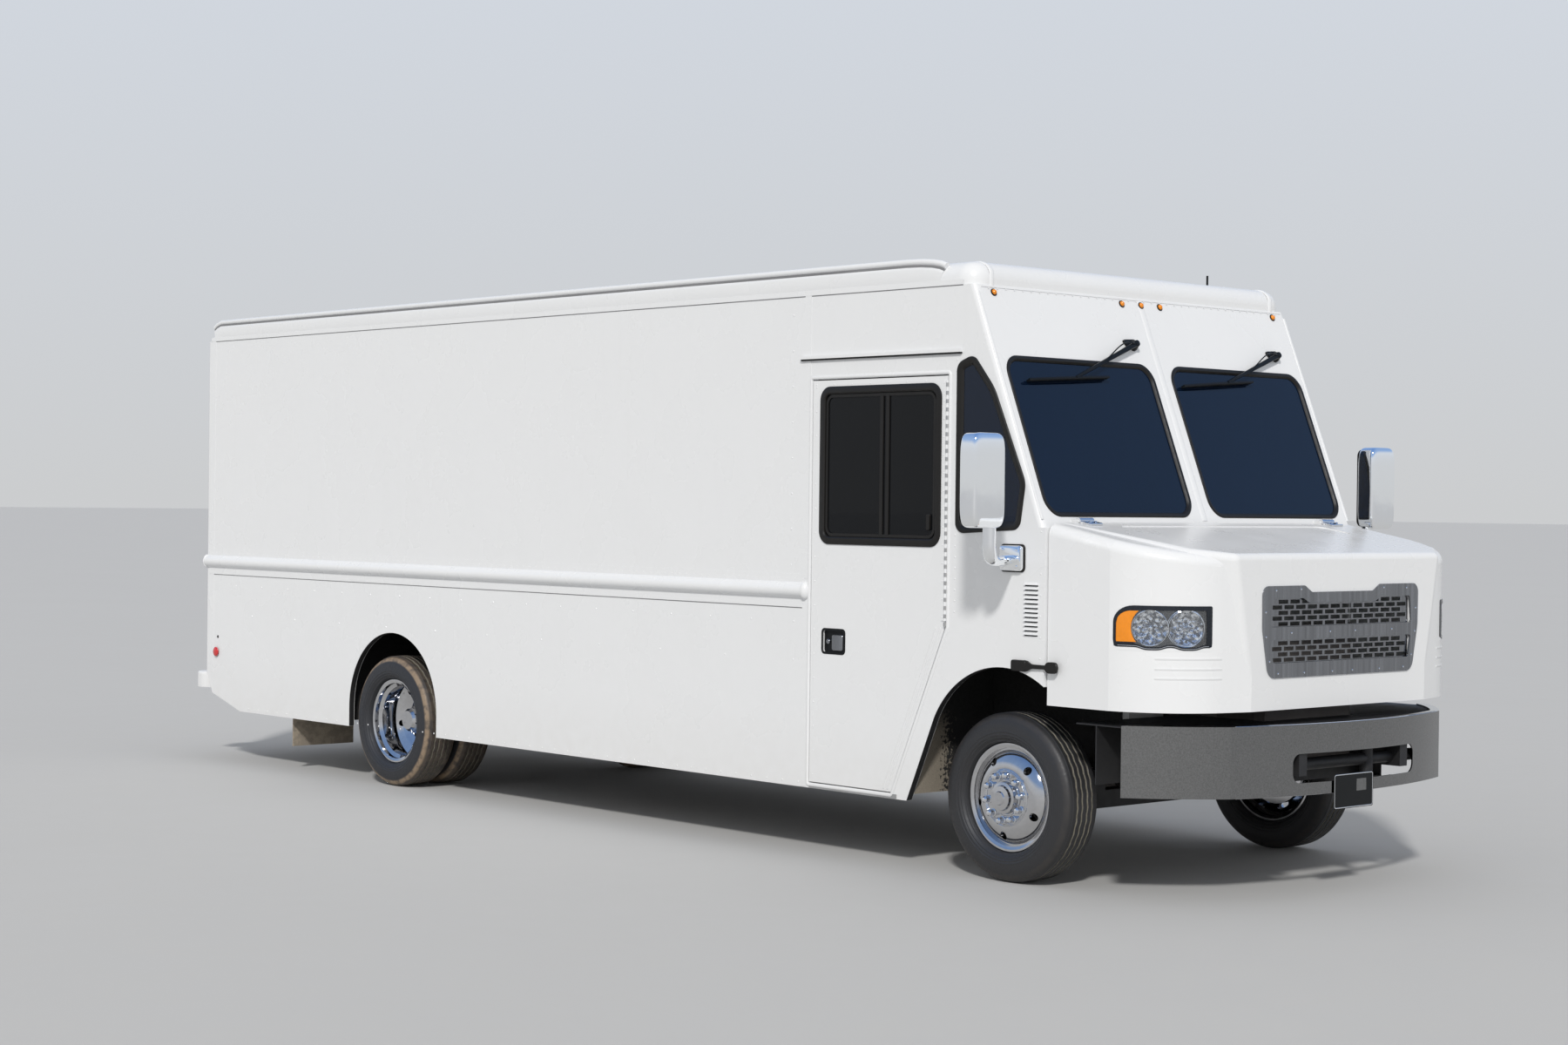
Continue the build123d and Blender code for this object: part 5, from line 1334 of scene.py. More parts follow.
class CabFace:
    """The raked face: rubber round the screens, the centre rib and the roof cap's seams."""

    screen_low = (0.076, 1.780)
    screen_high = (1.156, 2.540)
    screen_corner = 0.088
    # the quarter pane's corners, (x, z), and the radius at each
    quarter = (
        (FRONT_X - 0.262, 1.694), (FRONT_X + 0.142, 1.718), (FRONT_X + 0.176, 1.930),
        (FRONT_X - 0.030, 2.380), (FRONT_X - 0.165, 2.540), (FRONT_X - 0.262, 2.505),
    )
    quarter_radii = (0.042, 0.042, 0.10, 0.30, 0.045, 0.045)

    def rubber(self, outer: float, inner: float, proud: float, depth: float) -> Array:
        """Return a gasket's section.

        Args:
            outer: reach over the sheet, away from the pane.
            inner: reach over the glass.
            proud: height over the sheet.
            depth: how far the glass lies below the sheet.

        Returns:
            Points of the closed profile, its outer lip rounded and its inner lip thin.
        """
        t = np.linspace(0.0, np.pi / 2, 5)
        crown = np.stack([outer * 0.4 + outer * 0.6 * np.cos(t), proud * np.sin(t)], -1)
        lip = [(-inner * 0.45, proud * 0.75), (-inner * 0.9, -depth * 0.45)]
        foot = [(-inner, -depth + 0.001), (-0.001, -depth + 0.001), (-0.001, 0.0002)]
        return np.concatenate([crown, lip, foot])

    def build(self) -> None:
        """Make the face's pieces."""
        loop = box_loop(self.screen_low, self.screen_high, self.screen_corner, 10)
        gasket = ring(loop, on_face, FACE_NORMAL, self.rubber(0.010, 0.018, 0.006, 0.008))
        gasket.both().piece("screen_rubbers", Finishes.RUBBER, slot="black_rubber")
        corners = rounded_loop(self.quarter, self.quarter_radii, 8)
        quarter = ring(corners, on_side, OUT, self.rubber(0.012, 0.030, 0.008, 0.008))
        quarter.both().piece("quarter_rubbers", Finishes.RUBBER, slot="black_rubber")
        self.rib().piece("centre_rib", Finishes.PAINT)
        self.cap_seams().both().piece("roof_cap_seams", Finishes.PAINT)
        self.face_rivets().piece("face_rivets", Finishes.PAINT)
        self.cap_lip().piece("roof_cap_lip", Finishes.PAINT)
        self.pillar_beads().both().piece("pillar_beads", Finishes.PAINT)

    def rib(self) -> Shape:
        """Return the pressed rib down the middle of the face."""
        z = np.array([2.885, 2.55, 1.80, 1.755])
        return carried(bead(0.040, 0.003, 8), on_face(0.0, z), FACE_NORMAL)

    def cap_seams(self) -> Shape:
        """Return the rolled joints that cross the front of the roof cap.

        The path goes up the face to the cap, round its edge on a 0.088 arc and back on top.
        """
        lean = math.atan(FACE_SLOPE)
        t = np.linspace(lean, np.pi / 2, 10)
        y = -1.098
        edge_x = float(face_x(CAP_Z))
        mid_x = edge_x - 0.088
        x = mid_x + 0.088 * np.cos(t) / math.cos(lean) * 0.985
        z = ROOF_Z - 0.088 + 0.088 * np.sin(t)
        path = points_at([edge_x, *x, mid_x - 0.22], y, [CAP_Z - 0.012, *z, ROOF_Z])
        normal = unit(path - (mid_x - 0.05, y, ROOF_Z - 0.15))
        return carried(bead(0.030, 0.005), path, normal)

    def cap_lip(self) -> Shape:
        """Return the low lip where the roof cap meets the face."""
        y = np.linspace(-1.18, 1.18, 3)
        profile = np.array([[-0.006, -0.001], [0.006, -0.001], [0.006, 0.003], [-0.003, 0.004]])
        return carried(profile, on_face(y, CAP_Z - 0.008), FACE_NORMAL)

    def face_rivets(self) -> Shape:
        """Return fine rivets under the cap."""
        row = on_face(np.linspace(-1.13, 1.13, 38), CAP_Z - 0.018, 0.003)
        return rivets(FINE_RIVET, row, FACE_NORMAL)

    def pillar_beads(self) -> Shape:
        """Return the soft beads that run up the outer edges of the face."""
        z = np.linspace(1.76, 2.86, 4)
        return carried(bead(0.018, 0.0025), on_face(-1.205, z), FACE_NORMAL)


@dataclass
class SideDoor:
    """Trim of one side door, drawn on the right-hand side."""

    side: Side
    outline: tuple[Place, ...] = (
        (FRONT_X - 1.312, 0.375),
        (FRONT_X - 0.700, 0.375),
        (FRONT_X - 0.330, 1.223),
        (FRONT_X - 0.330, 2.460),
        (FRONT_X - 1.312, 2.460),
    )
    window_low: Place = (FRONT_X - 1.240, 1.622)
    window_high: Place = (FRONT_X - 0.385, 2.412)

    @property
    def name(self) -> str:
        """Name of the side, as the nodes have it."""
        return self.side.name.lower()

    def build(self) -> None:
        """Make the door's pieces."""
        body = f"door_{self.name}"
        frame = rounded_loop(self.outline, 0.012, 4)
        middle = frame.mean(0)
        frame = middle + (frame - middle) * (1.022, 1.010)
        surround = ring(frame, on_side, OUT, bead(0.020, 0.006))
        surround.on(self.side).piece(f"door_frame_bead_{self.name}", Finishes.PAINT)
        self.window_rings(body)
        self.window_bars().on(self.side).piece(
            f"window_bars_{self.name}", Finishes.RUBBER, body, "black_rubber"
        )
        self.handle(body)
        self.hinge().on(self.side).piece(
            f"door_hinge_{self.name}", Finishes.ALUMINIUM, body, "bumper_chrome"
        )
        self.toe_beads().on(self.side).piece(f"door_toe_{self.name}", Finishes.PAINT, body)
        heads = rivets(FINE_RIVET, self.rivet_places(), OUT)
        heads.on(self.side).piece(f"door_rivets_{self.name}", Finishes.PAINT, body)

    def window_rings(self, body: str) -> None:
        """Make the black ring round the window and the thinner one inside it.

        Args:
            body: the body that the door rides on.
        """
        loop = box_loop(self.window_low, self.window_high, 0.062, 10)
        wide = np.array(
            [
                (0.010, 0.0), (0.010, 0.005), (0.004, 0.009), (-0.022, 0.009),
                (-0.028, 0.004), (-0.030, -0.005), (-0.001, -0.005), (-0.001, 0.0),
            ]
        )
        first = ring(loop, on_side, OUT, wide)
        low = (self.window_low[0] + 0.040, self.window_low[1] + 0.040)
        high = (self.window_high[0] - 0.040, self.window_high[1] - 0.040)
        second = ring(box_loop(low, high, 0.040, 10), on_side, OUT, oblong(0.007, -0.006, 0.0))
        both = (first + second).on(self.side)
        both.piece(f"window_rubbers_{self.name}", Finishes.RUBBER, body, "black_rubber")

    def window_bars(self) -> Shape:
        """Return the two bars where the sliding panes meet, and the catch."""
        flat = oblong(0.011, -0.006, 0.001)
        bars = [side_strip((x, 1.665), (x, 2.370), flat) for x in (2.462, 2.505)]
        catch = side_plate(half_box(0.012, 0.040, 0.008, 4), (2.800, 1.735), 0.012, 0.002, -0.006)
        return joined([*bars, catch])

    def handle(self, body: str) -> None:
        """Make the recessed handle: a rim, a dark pan and a paddle lever.

        Args:
            body: the body that the door rides on.
        """
        x, z = FRONT_X - 1.135, 1.114
        loop = half_box(0.080, 0.0575, 0.014, 6) + (x, z)
        edge = np.array([(0.009, 0.0), (0.009, 0.0022), (-0.003, 0.0030), (-0.003, 0.0)])
        pan = side_plate(half_box(0.079, 0.0565, 0.013, 6), (x, z), 0.0015, proud=-0.0135)
        (ring(loop, on_side, OUT, edge) + pan).on(self.side).piece(
            f"door_handle_pan_{self.name}", Finishes.PLASTIC, body, "black_plastic"
        )
        loop = box_loop((-0.040, -0.046), (0.040, 0.034), 0.008, 5)
        paddle = side_plate(loop, (x + 0.024, z), 0.010, 0.003, -0.012)
        key = side_plate(circle(0.013, 20), (x - 0.046, z - 0.002), 0.009, 0.002, -0.012)
        (paddle + key).on(self.side).piece(
            f"door_handle_lever_{self.name}", Finishes.STEEL, body, "bumper_chrome"
        )

    def hinge(self) -> Shape:
        """Return the knuckles of the piano hinge, short turned sleeves round its pin."""
        hinge_x = FRONT_X - 0.333
        hinge_y = -HALF_WIDTH - 0.0061
        starts = np.arange(1.226, 2.440, 0.0405)
        return joined([turned(sleeve(0.019), (hinge_x, hinge_y, z), Z_AXIS, 10) for z in starts])

    def toe_beads(self) -> Shape:
        """Return the slanted double bead along the door's toe."""
        low_x, high_x = FRONT_X - 0.715, FRONT_X - 0.355
        roll = bead(0.012, 0.004, 5)
        return joined(
            [side_strip((low_x - s, 0.395), (high_x - s, 1.215), roll) for s in (0.012, 0.040)]
        )

    def rivet_places(self) -> Array:
        """Return rivets round the door's own edge and, 4 mm proud, down its hinge leaf."""
        rear = FRONT_X - 1.312 + 0.030
        front = FRONT_X - 0.330 - 0.026
        edge = [(rear, 0.42, rear, 2.42, 0.115), (rear, 2.432, front, 2.432, 0.115)]
        leaf = rows_of([(front, 1.27, front, 2.42, 0.08)], on_side) - (0.0, 0.004, 0.0)
        return np.concatenate([rows_of(edge, on_side), leaf])


class Nose:
    """What rides on the hood: hinge covers, cheek ribs, grille screws, lamps and latches."""

    slope = (1.610 - 1.745) / (NOSE_X - 3.582)

    def build(self) -> None:
        """Make the nose's pieces."""
        self.hinge_covers().both().piece("hood_hinge_covers", Finishes.CHROME, "hood", "mirror_chrome")
        self.latches()
        self.grille_screws().piece("grille_screws", Finishes.CHROME, "hood", "grille_metal")
        HeadLamp().build()
        self.cheek_ribs().both().piece("cheek_ribs", Finishes.PAINT, "hood")

    def hinge_covers(self) -> Shape:
        """Return the bright strap and barrel of a hood hinge."""
        x_axis = np.array([1.0, 0.0, self.slope])
        strap = placed(
            slab(box_loop((0.0, -0.046), (0.062, 0.046), 0.012, 5), 0.012, 0.004),
            (3.607, -0.956, 1.745 + self.slope * 0.025 + 0.0005), x_axis, Y_AXIS,
        )
        profile = np.array([[-0.050, 0.0], [-0.050, 0.0165], [0.050, 0.0165], [0.050, 0.0]])
        barrel = turned(profile, (3.590, -0.956, 1.752), Y_AXIS, 18)
        bolts = stamped(
            dome(0.007, 0.005, 8, 3),
            np.array([[3.64, -0.978, 1.749], [3.64, -0.934, 1.749]]),
            (-self.slope, 0.0, 1.0),
        )
        return joined([strap, barrel, bolts])

    def latches(self) -> None:
        """Make the rubber hold-down latches across the rear edge of the hood.

        The pull is a flat loop: a neck of half height 0.010 that widens to 0.026 at the anchor,
        and an end of half height 0.027 (1 - ((x - 3.632) / 0.037)^4)^0.5.
        """
        x = np.linspace(3.470, 3.6688, 46)
        foot = 0.016 * np.exp(-(((x - 3.470) / 0.022) ** 2))
        end = np.sqrt(np.clip(1.0 - ((x - 3.632) / 0.037) ** 4, 0.0, 1.0)) * 0.027
        half = np.maximum(0.010 + foot, end) * (x < 3.650) + end * (x >= 3.650)
        loop = np.concatenate([np.stack([x, -half], -1), np.stack([x[::-1], half[::-1]], -1)])
        pull = side_plate(loop, (0.0, 1.062), 0.013, 0.002, 0.0015)
        pull.both().piece("hood_latches", Finishes.RUBBER, "hood", "black_rubber")
        anchor = side_plate(half_box(0.050, 0.027, 0.012, 5), (3.424, 1.062), 0.016, 0.005)
        anchor.both().piece("latch_anchors", Finishes.RUBBER, slot="black_rubber")

    def grille_screws(self) -> Shape:
        """Return the screw heads on the grille's frame."""
        half = [
            (0.33, 1.444), (0.52, 1.440), (0.598, 1.340), (0.594, 1.225), (0.566, 1.110),
            (0.08, 1.050), (0.30, 1.050), (0.50, 1.052), (0.10, 1.240), (0.40, 1.240),
        ]
        places = np.array([(NOSE_X + 0.006, s * y, z) for y, z in half for s in (-1, 1)])
        return stamped(dome(0.0055, 0.003, 8, 3), places, X_AXIS)

    def cheek_ribs(self) -> Shape:
        """Return the three shallow ribs pressed in the cheek below the headlamp."""
        start, end = corner_angle(*CHEEK_ARC[0]), corner_angle(*CHEEK_ARC[2])
        angle = start + (end - start) * np.linspace(0.41, 1.01, 16)
        step = np.array(
            [(-0.001, -0.001), (0.009, -0.001), (0.009, 0.0), (0.001, 0.0038), (-0.001, 0.0036)]
        )
        made = []
        for z in (1.041, 1.085, 1.132):
            path = on_corner(angle, z)
            made.append(carried(step, path, unit(path - (3.75, -0.40, z))))
        return joined(made)


class HeadLamp:
    """A headlamp wrapped round the corner of the nose."""

    low_z = 1.1705
    high_z = 1.3565
    # metres along the corner from s = 0 to s = 1, and the places of the two dishes
    arc = 0.437
    dish_z = 1.2705
    dish_places = (0.345, 0.727)

    def skin(self, s: Array | float, z: Array | float, inset: float) -> Array:
        """Return points of the lamp's face: s runs from its outer to its inner end."""
        start, end = corner_angle(4.0065, 1.194), corner_angle(4.3265, 0.914)
        return on_corner(start + (end - start) * s, z, inset)

    def out(self, s: Array | float) -> Array:
        """Return the outward direction at each s."""
        return self.skin(s, 0.0, -1.0) - self.skin(s, 0.0, 0.0)

    def foot(self, s: Array) -> Array:
        """Return the lamp's lower edge: level at its outer end, then two lobes."""
        first = np.exp(-(((s - 0.37) / 0.13) ** 4))
        second = np.exp(-(((s - 0.755) / 0.13) ** 4))
        return 1.1815 - 0.0125 * np.maximum(first, second)

    def pane(self, start: float, end: float, outer: float, inner: float) -> Shape:
        """Return a stretch of the lens between two depths, crowned a little in height."""
        s = np.linspace(start, end, max(6, int(60 * (end - start))))[:, None]
        t = np.linspace(0.0, 1.0, 13)
        face = self.skin(s, self.low_z + 0.001 + (self.high_z - self.low_z - 0.002) * t, 0.0)
        crown = 0.004 * (1.0 - (2.0 * t - 1.0) ** 2)[:, None]
        out = self.out(s)
        return shell(face + out * (crown - outer), face + out * (crown * 0.6 - inner))

    def turn_signal(self) -> Shape:
        """Return the amber lens, its inner edge hollowed round the first dish.

        At height z that edge lies at s = 0.375 - sqrt(0.1005^2 - (z - 1.271)^2) / arc.
        """
        low, high = 1.205, 1.348
        level = np.linspace(0.0, 1.0, 17)
        end = 0.375 - np.sqrt(0.1005**2 - (low + (high - low) * level - 1.271) ** 2) / self.arc
        t = np.linspace(0.0, 1.0, 14)[:, None]
        s = -0.022 + (end + 0.022) * t
        bend = np.sqrt(np.clip(1.0 - ((0.15 - s) / 0.172) ** 2, 0.0, 1.0))
        top = np.where(s < 0.15, 1.288 + 0.060 * bend, high)
        rise = (top - low) / (high - low) * level
        crown = 0.0035 + 0.003 * np.sin(np.pi * t) * np.sin(np.pi * rise)
        ripple = 0.0008 * np.abs(2.0 * rise - 1.0) * np.cos(150.0 * s)
        face = self.skin(s, low + (high - low) * rise, 0.0)
        return shell(face + self.out(s) * (crown + ripple)[..., None], face)

    def surround(self) -> Shape:
        """Return the dark rim over the skin: a closed band between two outlines.

        Columns of the table: s and z of the outer edge, s and z of the inner edge.
        """
        s = np.linspace(0.03, 0.985, 48)
        foot = self.foot(s)
        below = np.stack([s, foot, s, np.where(s < 0.19, 1.203, foot + 0.0135)], -1)
        t = np.linspace(np.pi / 2, 0.0, 9)
        outer = (0.176 - 0.233 * np.cos(t), 1.293 + 0.079 * np.sin(t))
        corner = np.stack([*outer, 0.15 - 0.170 * np.cos(t), 1.290 + 0.060 * np.sin(t)], -1)
        right = [
            (1.008, 1.1865, 0.945, 1.196), (1.012, 1.200, 0.945, 1.210),
            (1.012, 1.366, 0.945, 1.345), (1.004, 1.372, 0.938, 1.352),
        ]
        top = np.linspace((0.97, 1.372, 0.93, 1.352), (0.20, 1.372, 0.17, 1.352), 24)
        left = [
            (-0.057, 1.280, -0.020, 1.280), (-0.057, 1.215, -0.022, 1.215),
            (-0.045, 1.186, -0.018, 1.204), (-0.01, 1.1815, 0.0, 1.203),
        ]
        rows = np.concatenate([below, right, top, corner, left])
        spine = [(0, -0.0005), (0, 0.003), (2, 0.0045), (2, -0.010)]
        grid = np.stack([self.skin(rows[:, c], rows[:, c + 1], -lift) for c, lift in spine], 1)
        return outward(sheet(grid, True, True))

    def trim(self) -> Shape:
        """Return the bright line along the lower edge, and a ring round each dish."""
        s = np.linspace(0.0, 0.97, 60)
        path = self.skin(s, self.foot(s) + 0.0065, -0.0042)
        line = carried(circle(0.0016, 6), path, unit(path - path.mean(0) + (0.4, -0.4, 0.0)))
        turn = whole_turn(72)
        rings = []
        for place, radius in (*((s, 0.083) for s in self.dish_places), (0.722, 0.0880)):
            across = place + radius / self.arc * np.cos(turn)
            loop = self.skin(across, self.dish_z + 0.98 * radius * np.sin(turn), 0.001)
            rings.append(carried(circle(0.0022, 8), loop, self.out(place), closed=True))
        return joined([line, *rings])

    def filler(self) -> Shape:
        """Return the painted slivers between the square opening and the lamp's outline."""
        depths = (-0.0008, 0.004)
        s = np.linspace(-0.02, 1.015, 60)
        low = [
            np.stack([self.skin(s, 1.1655, d), self.skin(s, self.foot(s) + 0.004, d)], 1)
            for d in depths
        ]
        s = np.linspace(-0.03, 0.07, 12)
        arch = 1.290 + 0.079 * np.sqrt(1.0 - ((0.176 - s) / 0.233) ** 2)
        corner = [np.stack([self.skin(s, arch, d), self.skin(s, 1.3625, d)], 1) for d in depths]
        return shell(*low) + shell(*corner)

    def dish(self, s: float, radius: float) -> Shape:
        """Return a cut-glass reflector with its bulb.

        Its depth is 0.030 - 0.025 (r / R)^2 with facets of 0.0042 sin(9 u) sin(4 pi r / R),
        where u is the angle round the dish.
        """
        rings, steps = 30, 96
        r = np.linspace(0.0005, radius, rings)
        u = whole_turn(steps)[:, None]
        depth = 0.030 - 0.025 * (r / radius) ** 2
        depth = depth + 0.0042 * np.sin(9.0 * u) * np.sin(4.0 * np.pi * r / radius)
        place, axis = self.skin(s, self.dish_z, 0.0), self.out(s)
        spokes = np.cos(u) * unit(np.cross(Z_AXIS, axis)) + np.sin(u) * np.array(Z_AXIS)
        front = place + r[:, None] * spokes[:, None] - depth[..., None] * axis
        points = np.concatenate([front.reshape(-1, 3), front.reshape(-1, 3) - 0.002 * axis])
        cells = quads(steps, rings, True, False)
        count = steps * rings
        edge = np.arange(steps) * rings + rings - 1
        ahead = np.roll(edge, -1)
        rim = np.stack([edge, ahead, ahead + count, edge + count], -1)
        bowl = outward(Shape(points, [cells[:, ::-1], cells + count, rim]))
        bulb = [(-0.030, 0.0), (-0.030, 0.014), (-0.014, 0.014), (-0.009, 0.009), (-0.007, 0.0)]
        return bowl + outward(turned(np.array(bulb), place, axis, 20))

    def build(self) -> None:
        """Make both headlamps."""
        lens = self.pane(0.05, 0.985, 0.001, 0.003).both()
        made = lens.piece("headlamp_lenses", Finishes.LENS, "hood", "lamp_clear")
        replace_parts(made, "headlamps")
        self.turn_signal().both().piece("headlamp_ambers", Finishes.AMBER, "hood", "lamp_amber")
        self.surround().both().piece("headlamp_rims", Finishes.LAMP_BODY, "hood", "black_plastic")
        self.filler().both().piece("headlamp_fillers", Finishes.PAINT, "hood")
        self.trim().both().piece("headlamp_trims", Finishes.MIRROR, "hood", "mirror_chrome")
        s = np.linspace(0.0, 1.0, 40)[:, None]
        z = np.linspace(self.low_z, self.high_z, 5)[None, :]
        bowl = shell(self.skin(s, z, 0.034), self.skin(s, z, 0.038))
        walls = self.edge_wall(self.low_z) + self.edge_wall(self.high_z - 0.004)
        (bowl + walls).both().piece("headlamp_bowls", Finishes.LAMP_BODY, "hood", "lamp_clear")
        dishes = joined([self.dish(s, 0.082) for s in self.dish_places])
        dishes.both().piece("headlamp_reflectors", Finishes.REFLECTOR, "hood", "lamp_clear", 180.0)

    def edge_wall(self, low: float) -> Shape:
        """Return a wall of the bowl, 4 mm high, from its back to just under the skin."""
        s = np.linspace(0.0, 1.0, 40)
        front = np.stack([self.skin(s, low, depth) for depth in (0.006, 0.036)], 1)
        return shell(front, front + (0.0, 0.0, 0.004))


class Front:
    """The blank plate, the tow bar, the bumper's edge beads and the amber domes."""

    def build(self) -> None:
        """Make the pieces in front."""
        loop = half_box(0.155, 0.083, 0.010, 5)
        plate = placed(slab(loop, 0.0009, 0.0004), (4.5086, -0.061, 0.492), Y_AXIS, Z_AXIS)
        plate.piece("blank_plate", Finishes.PLASTIC, slot="black_plastic")
        loop = box_loop((-0.211, 0.414), (0.089, 0.570), 0.010, 5)
        rim = ring(loop, cross_plane(4.5087), X_AXIS, bead(0.006, 0.0012, 4, 0.0))
        rim.piece("blank_plate_rim", Finishes.CHROME, slot="bumper_chrome")
        post = strip((4.400, 0.19, 0.50), (4.400, 0.19, 0.72), circle(0.032, 20), X_AXIS)
        bar = strip((4.395, -0.60, 0.62), (4.395, 0.60, 0.62), circle(0.030, 16), X_AXIS)
        (post + bar).piece("tow_bar", Finishes.CHASSIS, slot="chassis_black")
        self.edge_beads().piece("bumper_edge_beads", Finishes.CHROME, slot="bumper_chrome")
        places = on_face([-1.100, -0.150, 0.0, 0.150, 1.100], 2.859)
        lens = stamped(dome(0.0150, 0.017, 20, 6), places, FACE_NORMAL)
        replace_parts(lens.piece("amber_domes", Finishes.AMBER, slot="lamp_amber"), "amber_lamps")
        base = [(0.0, 0.0), (0.0, 0.0195), (0.004, 0.0190), (0.005, 0.0160), (0.002, 0.0)]
        bezels = joined([turned(np.array(base), p, FACE_NORMAL, 24) for p in places])
        bezels.piece("amber_bezels", Finishes.PLASTIC, slot="lamp_amber")

    def edge_beads(self) -> Shape:
        """Return the bright rolled edges along the bumper's top and bottom.

        The bumper's front is the arc x = centre + sqrt(radius ** 2 - y ** 2).
        """
        radius = 2.7274
        centre = 4.510 - radius
        y = np.linspace(-0.80, 0.80, 41)
        x = centre + np.sqrt(radius**2 - y**2) - 0.0065
        out = unit(points_at(x - centre, y, 0.0))
        beads = [carried(circle(0.0062, 10), points_at(x, y, z), out) for z in (0.8150, 0.4920)]
        return joined(beads)


class Mirrors:
    """The two mirrors: chrome heads on broad flat arms."""

    head = np.array([FRONT_X + 0.221, -1.552, 1.938])
    size = (0.112, 0.215, 0.445)

    def build(self) -> None:
        """Make both mirrors."""
        head = pillow(self.size, 0.30).moved(self.head)
        foot = (FRONT_X + 0.112, 1.572)
        base = side_plate(half_box(0.072, 0.060, 0.018, 6), foot, 0.020, 0.005, 0.006)
        places = on_side([3.325, 3.325, 3.415, 3.415], [1.532, 1.612, 1.532, 1.612], 0.026)
        bolts = stamped(dome(0.008, 0.006), places, OUT)
        made = joined([head, self.arm(), base, bolts]).both()
        whole = made.piece("mirror_shells", Finishes.MIRROR, slot="mirror_chrome", sharp=50.0)
        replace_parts(whole, "mirrors")
        gasket = side_plate(half_box(0.079, 0.067, 0.022, 6), foot, 0.007, 0.002)
        made = (gasket + self.back_frame()).both()
        made.piece("mirror_gaskets", Finishes.RUBBER, slot="mirror_chrome")
        self.glass().both().piece("mirror_glasses", Finishes.MIRROR, slot="mirror_chrome")

    def arm(self) -> Shape:
        """Return the arm: a broad oval section out of the base plate, then up into the head.

        The bend is the curve (1 - t)^2 a + 2 t (1 - t) corner + t^2 b between two straights.
        """
        foot = np.array([3.372, -1.232, 1.565])
        corner = np.array([3.465, -1.485, 1.555])
        top = np.array([3.465, -1.485, 1.760])
        before = corner + 0.085 * unit(foot - corner)
        after = corner + 0.085 * unit(top - corner)
        t = np.linspace(0.0, 1.0, 14)[:, None]
        bend = (1 - t) ** 2 * before + 2 * t * (1 - t) * corner + t**2 * after
        path = np.concatenate([foot[None], (foot + before)[None] / 2, bend, top[None]])
        return carried(circle(0.024, 20, 0.033), path, (0.936, 0.351, 0.0))

    def back_frame(self) -> Shape:
        """Return the black frame on the rear face of a head."""
        x = self.head[0] - self.size[0] / 2 + 0.004
        loop = box_loop((-1.645, 1.735), (-1.459, 2.141), 0.030, 8)[::-1]
        return ring(loop, cross_plane(x), BACK, bead(0.014, 0.006, 5))

    def glass(self) -> Shape:
        """Return the two panes of a head, drawn upside down and turned over."""
        x = self.head[0] - self.size[0] / 2 + 0.001
        panes = []
        for low, high in ((1.745, 1.860), (1.872, 2.131)):
            loop = box_loop((-1.636, low), (-1.468, high), 0.022, 6)[::-1]
            panes.append(placed(slab(loop, 0.003, 0.001), (x, 0.0, 0.0), Y_AXIS, (0, 0, -1)))
        made = joined(panes)
        made.points[:, 2] *= -1.0
        return made


@dataclass(frozen=True)
class Wiper:
    """One wiper, hung from above its screen. Places are (y, z) on the raked face."""

    pivot: Place
    arm_end: Place
    blade_start: Place
    blade_end: Place

    def shape(self) -> Shape:
        """Return the wiper: bracket, spindle cap, arm, blade and hose."""
        pivot = np.array(self.pivot)
        end = np.array(self.arm_end)
        t = np.linspace(0.0, 1.0, 9)[:, None]
        along = pivot * (1 - t) + end * t
        lift = (0.032 - 0.006 * t) * FACE_NORMAL
        arm = tapered(on_face(*along.T) + lift, 0.015, 0.007, 0.006)
        line = on_face(*(np.array(self.blade_start) * (1 - t) + np.array(self.blade_end) * t).T)
        bow = (0.020 + 0.006 * np.sin(np.pi * t)) * FACE_NORMAL
        spine = carried(circle(0.007, 8, 0.004), line + bow, FACE_NORMAL)
        edge = oblong(0.0045, -0.009, 0.010, 0.003)
        rubber = carried(edge, line + 0.008 * FACE_NORMAL, FACE_NORMAL)
        hub = [(0.0, 0.0), (0.0, 0.030), (0.012, 0.028), (0.030, 0.019), (0.040, 0.016), (0.042, 0.0)]
        place = on_face(*self.pivot)
        cap = turned(np.array(hub), place, FACE_NORMAL, 24)
        side = 1.0 if end[0] < pivot[0] else -1.0
        corners = np.array([(-0.075, 0.028), (-0.050, -0.014), (0.014, -0.024), (0.022, 0.034)])
        loop = rounded_loop(corners * (side, 1.0), 0.009, 5)
        loop = loop if side > 0 else loop[::-1]
        up = np.cross(FACE_NORMAL, Y_AXIS)
        bracket = placed(slab(loop, 0.012, 0.003), place + 0.0005 * FACE_NORMAL, Y_AXIS, up)
        return joined([arm, spine, rubber, cap, bracket, self.hose(pivot, along)])

    def hose(self, pivot: Array, along: Array) -> Shape:
        """Return the washer hose: a loop off the pivot that settles on the arm."""
        t = np.linspace(0.0, 1.0, 30)
        base = pivot + (along[5] - pivot) * t[:, None] ** 1.3
        loop = 0.035 * np.sin(np.pi * t) ** 2
        points = on_face(base[:, 0], base[:, 1] + loop * 0.9)
        height = 0.030 + 0.022 * np.sin(np.pi * t)
        return carried(circle(0.0035, 6), points + height[:, None] * FACE_NORMAL, FACE_NORMAL)


def tapered(path: Array, start: float, end: float, thickness: float) -> Shape:
    """Return a bar along a path whose half width goes from start to end."""
    along = tangents(path, False)
    across = unit(np.cross(along, FACE_NORMAL))
    width = np.linspace(start, end, len(path))[:, None, None]
    square = np.array([[-1.0, 0.0], [1.0, 0.0], [0.8, 1.0], [-0.8, 1.0]])
    grid = (
        path[:, None]
        + square[None, :, :1] * width * across[:, None]
        + square[None, :, 1:] * thickness * FACE_NORMAL
    )
    last = (len(path) - 1) * 4
    faces = [
        quads(len(path), 4, False, True),
        np.arange(4)[None, :],
        last + np.arange(4)[None, ::-1],
    ]
    return outward(Shape(grid.reshape(-1, 3), faces))


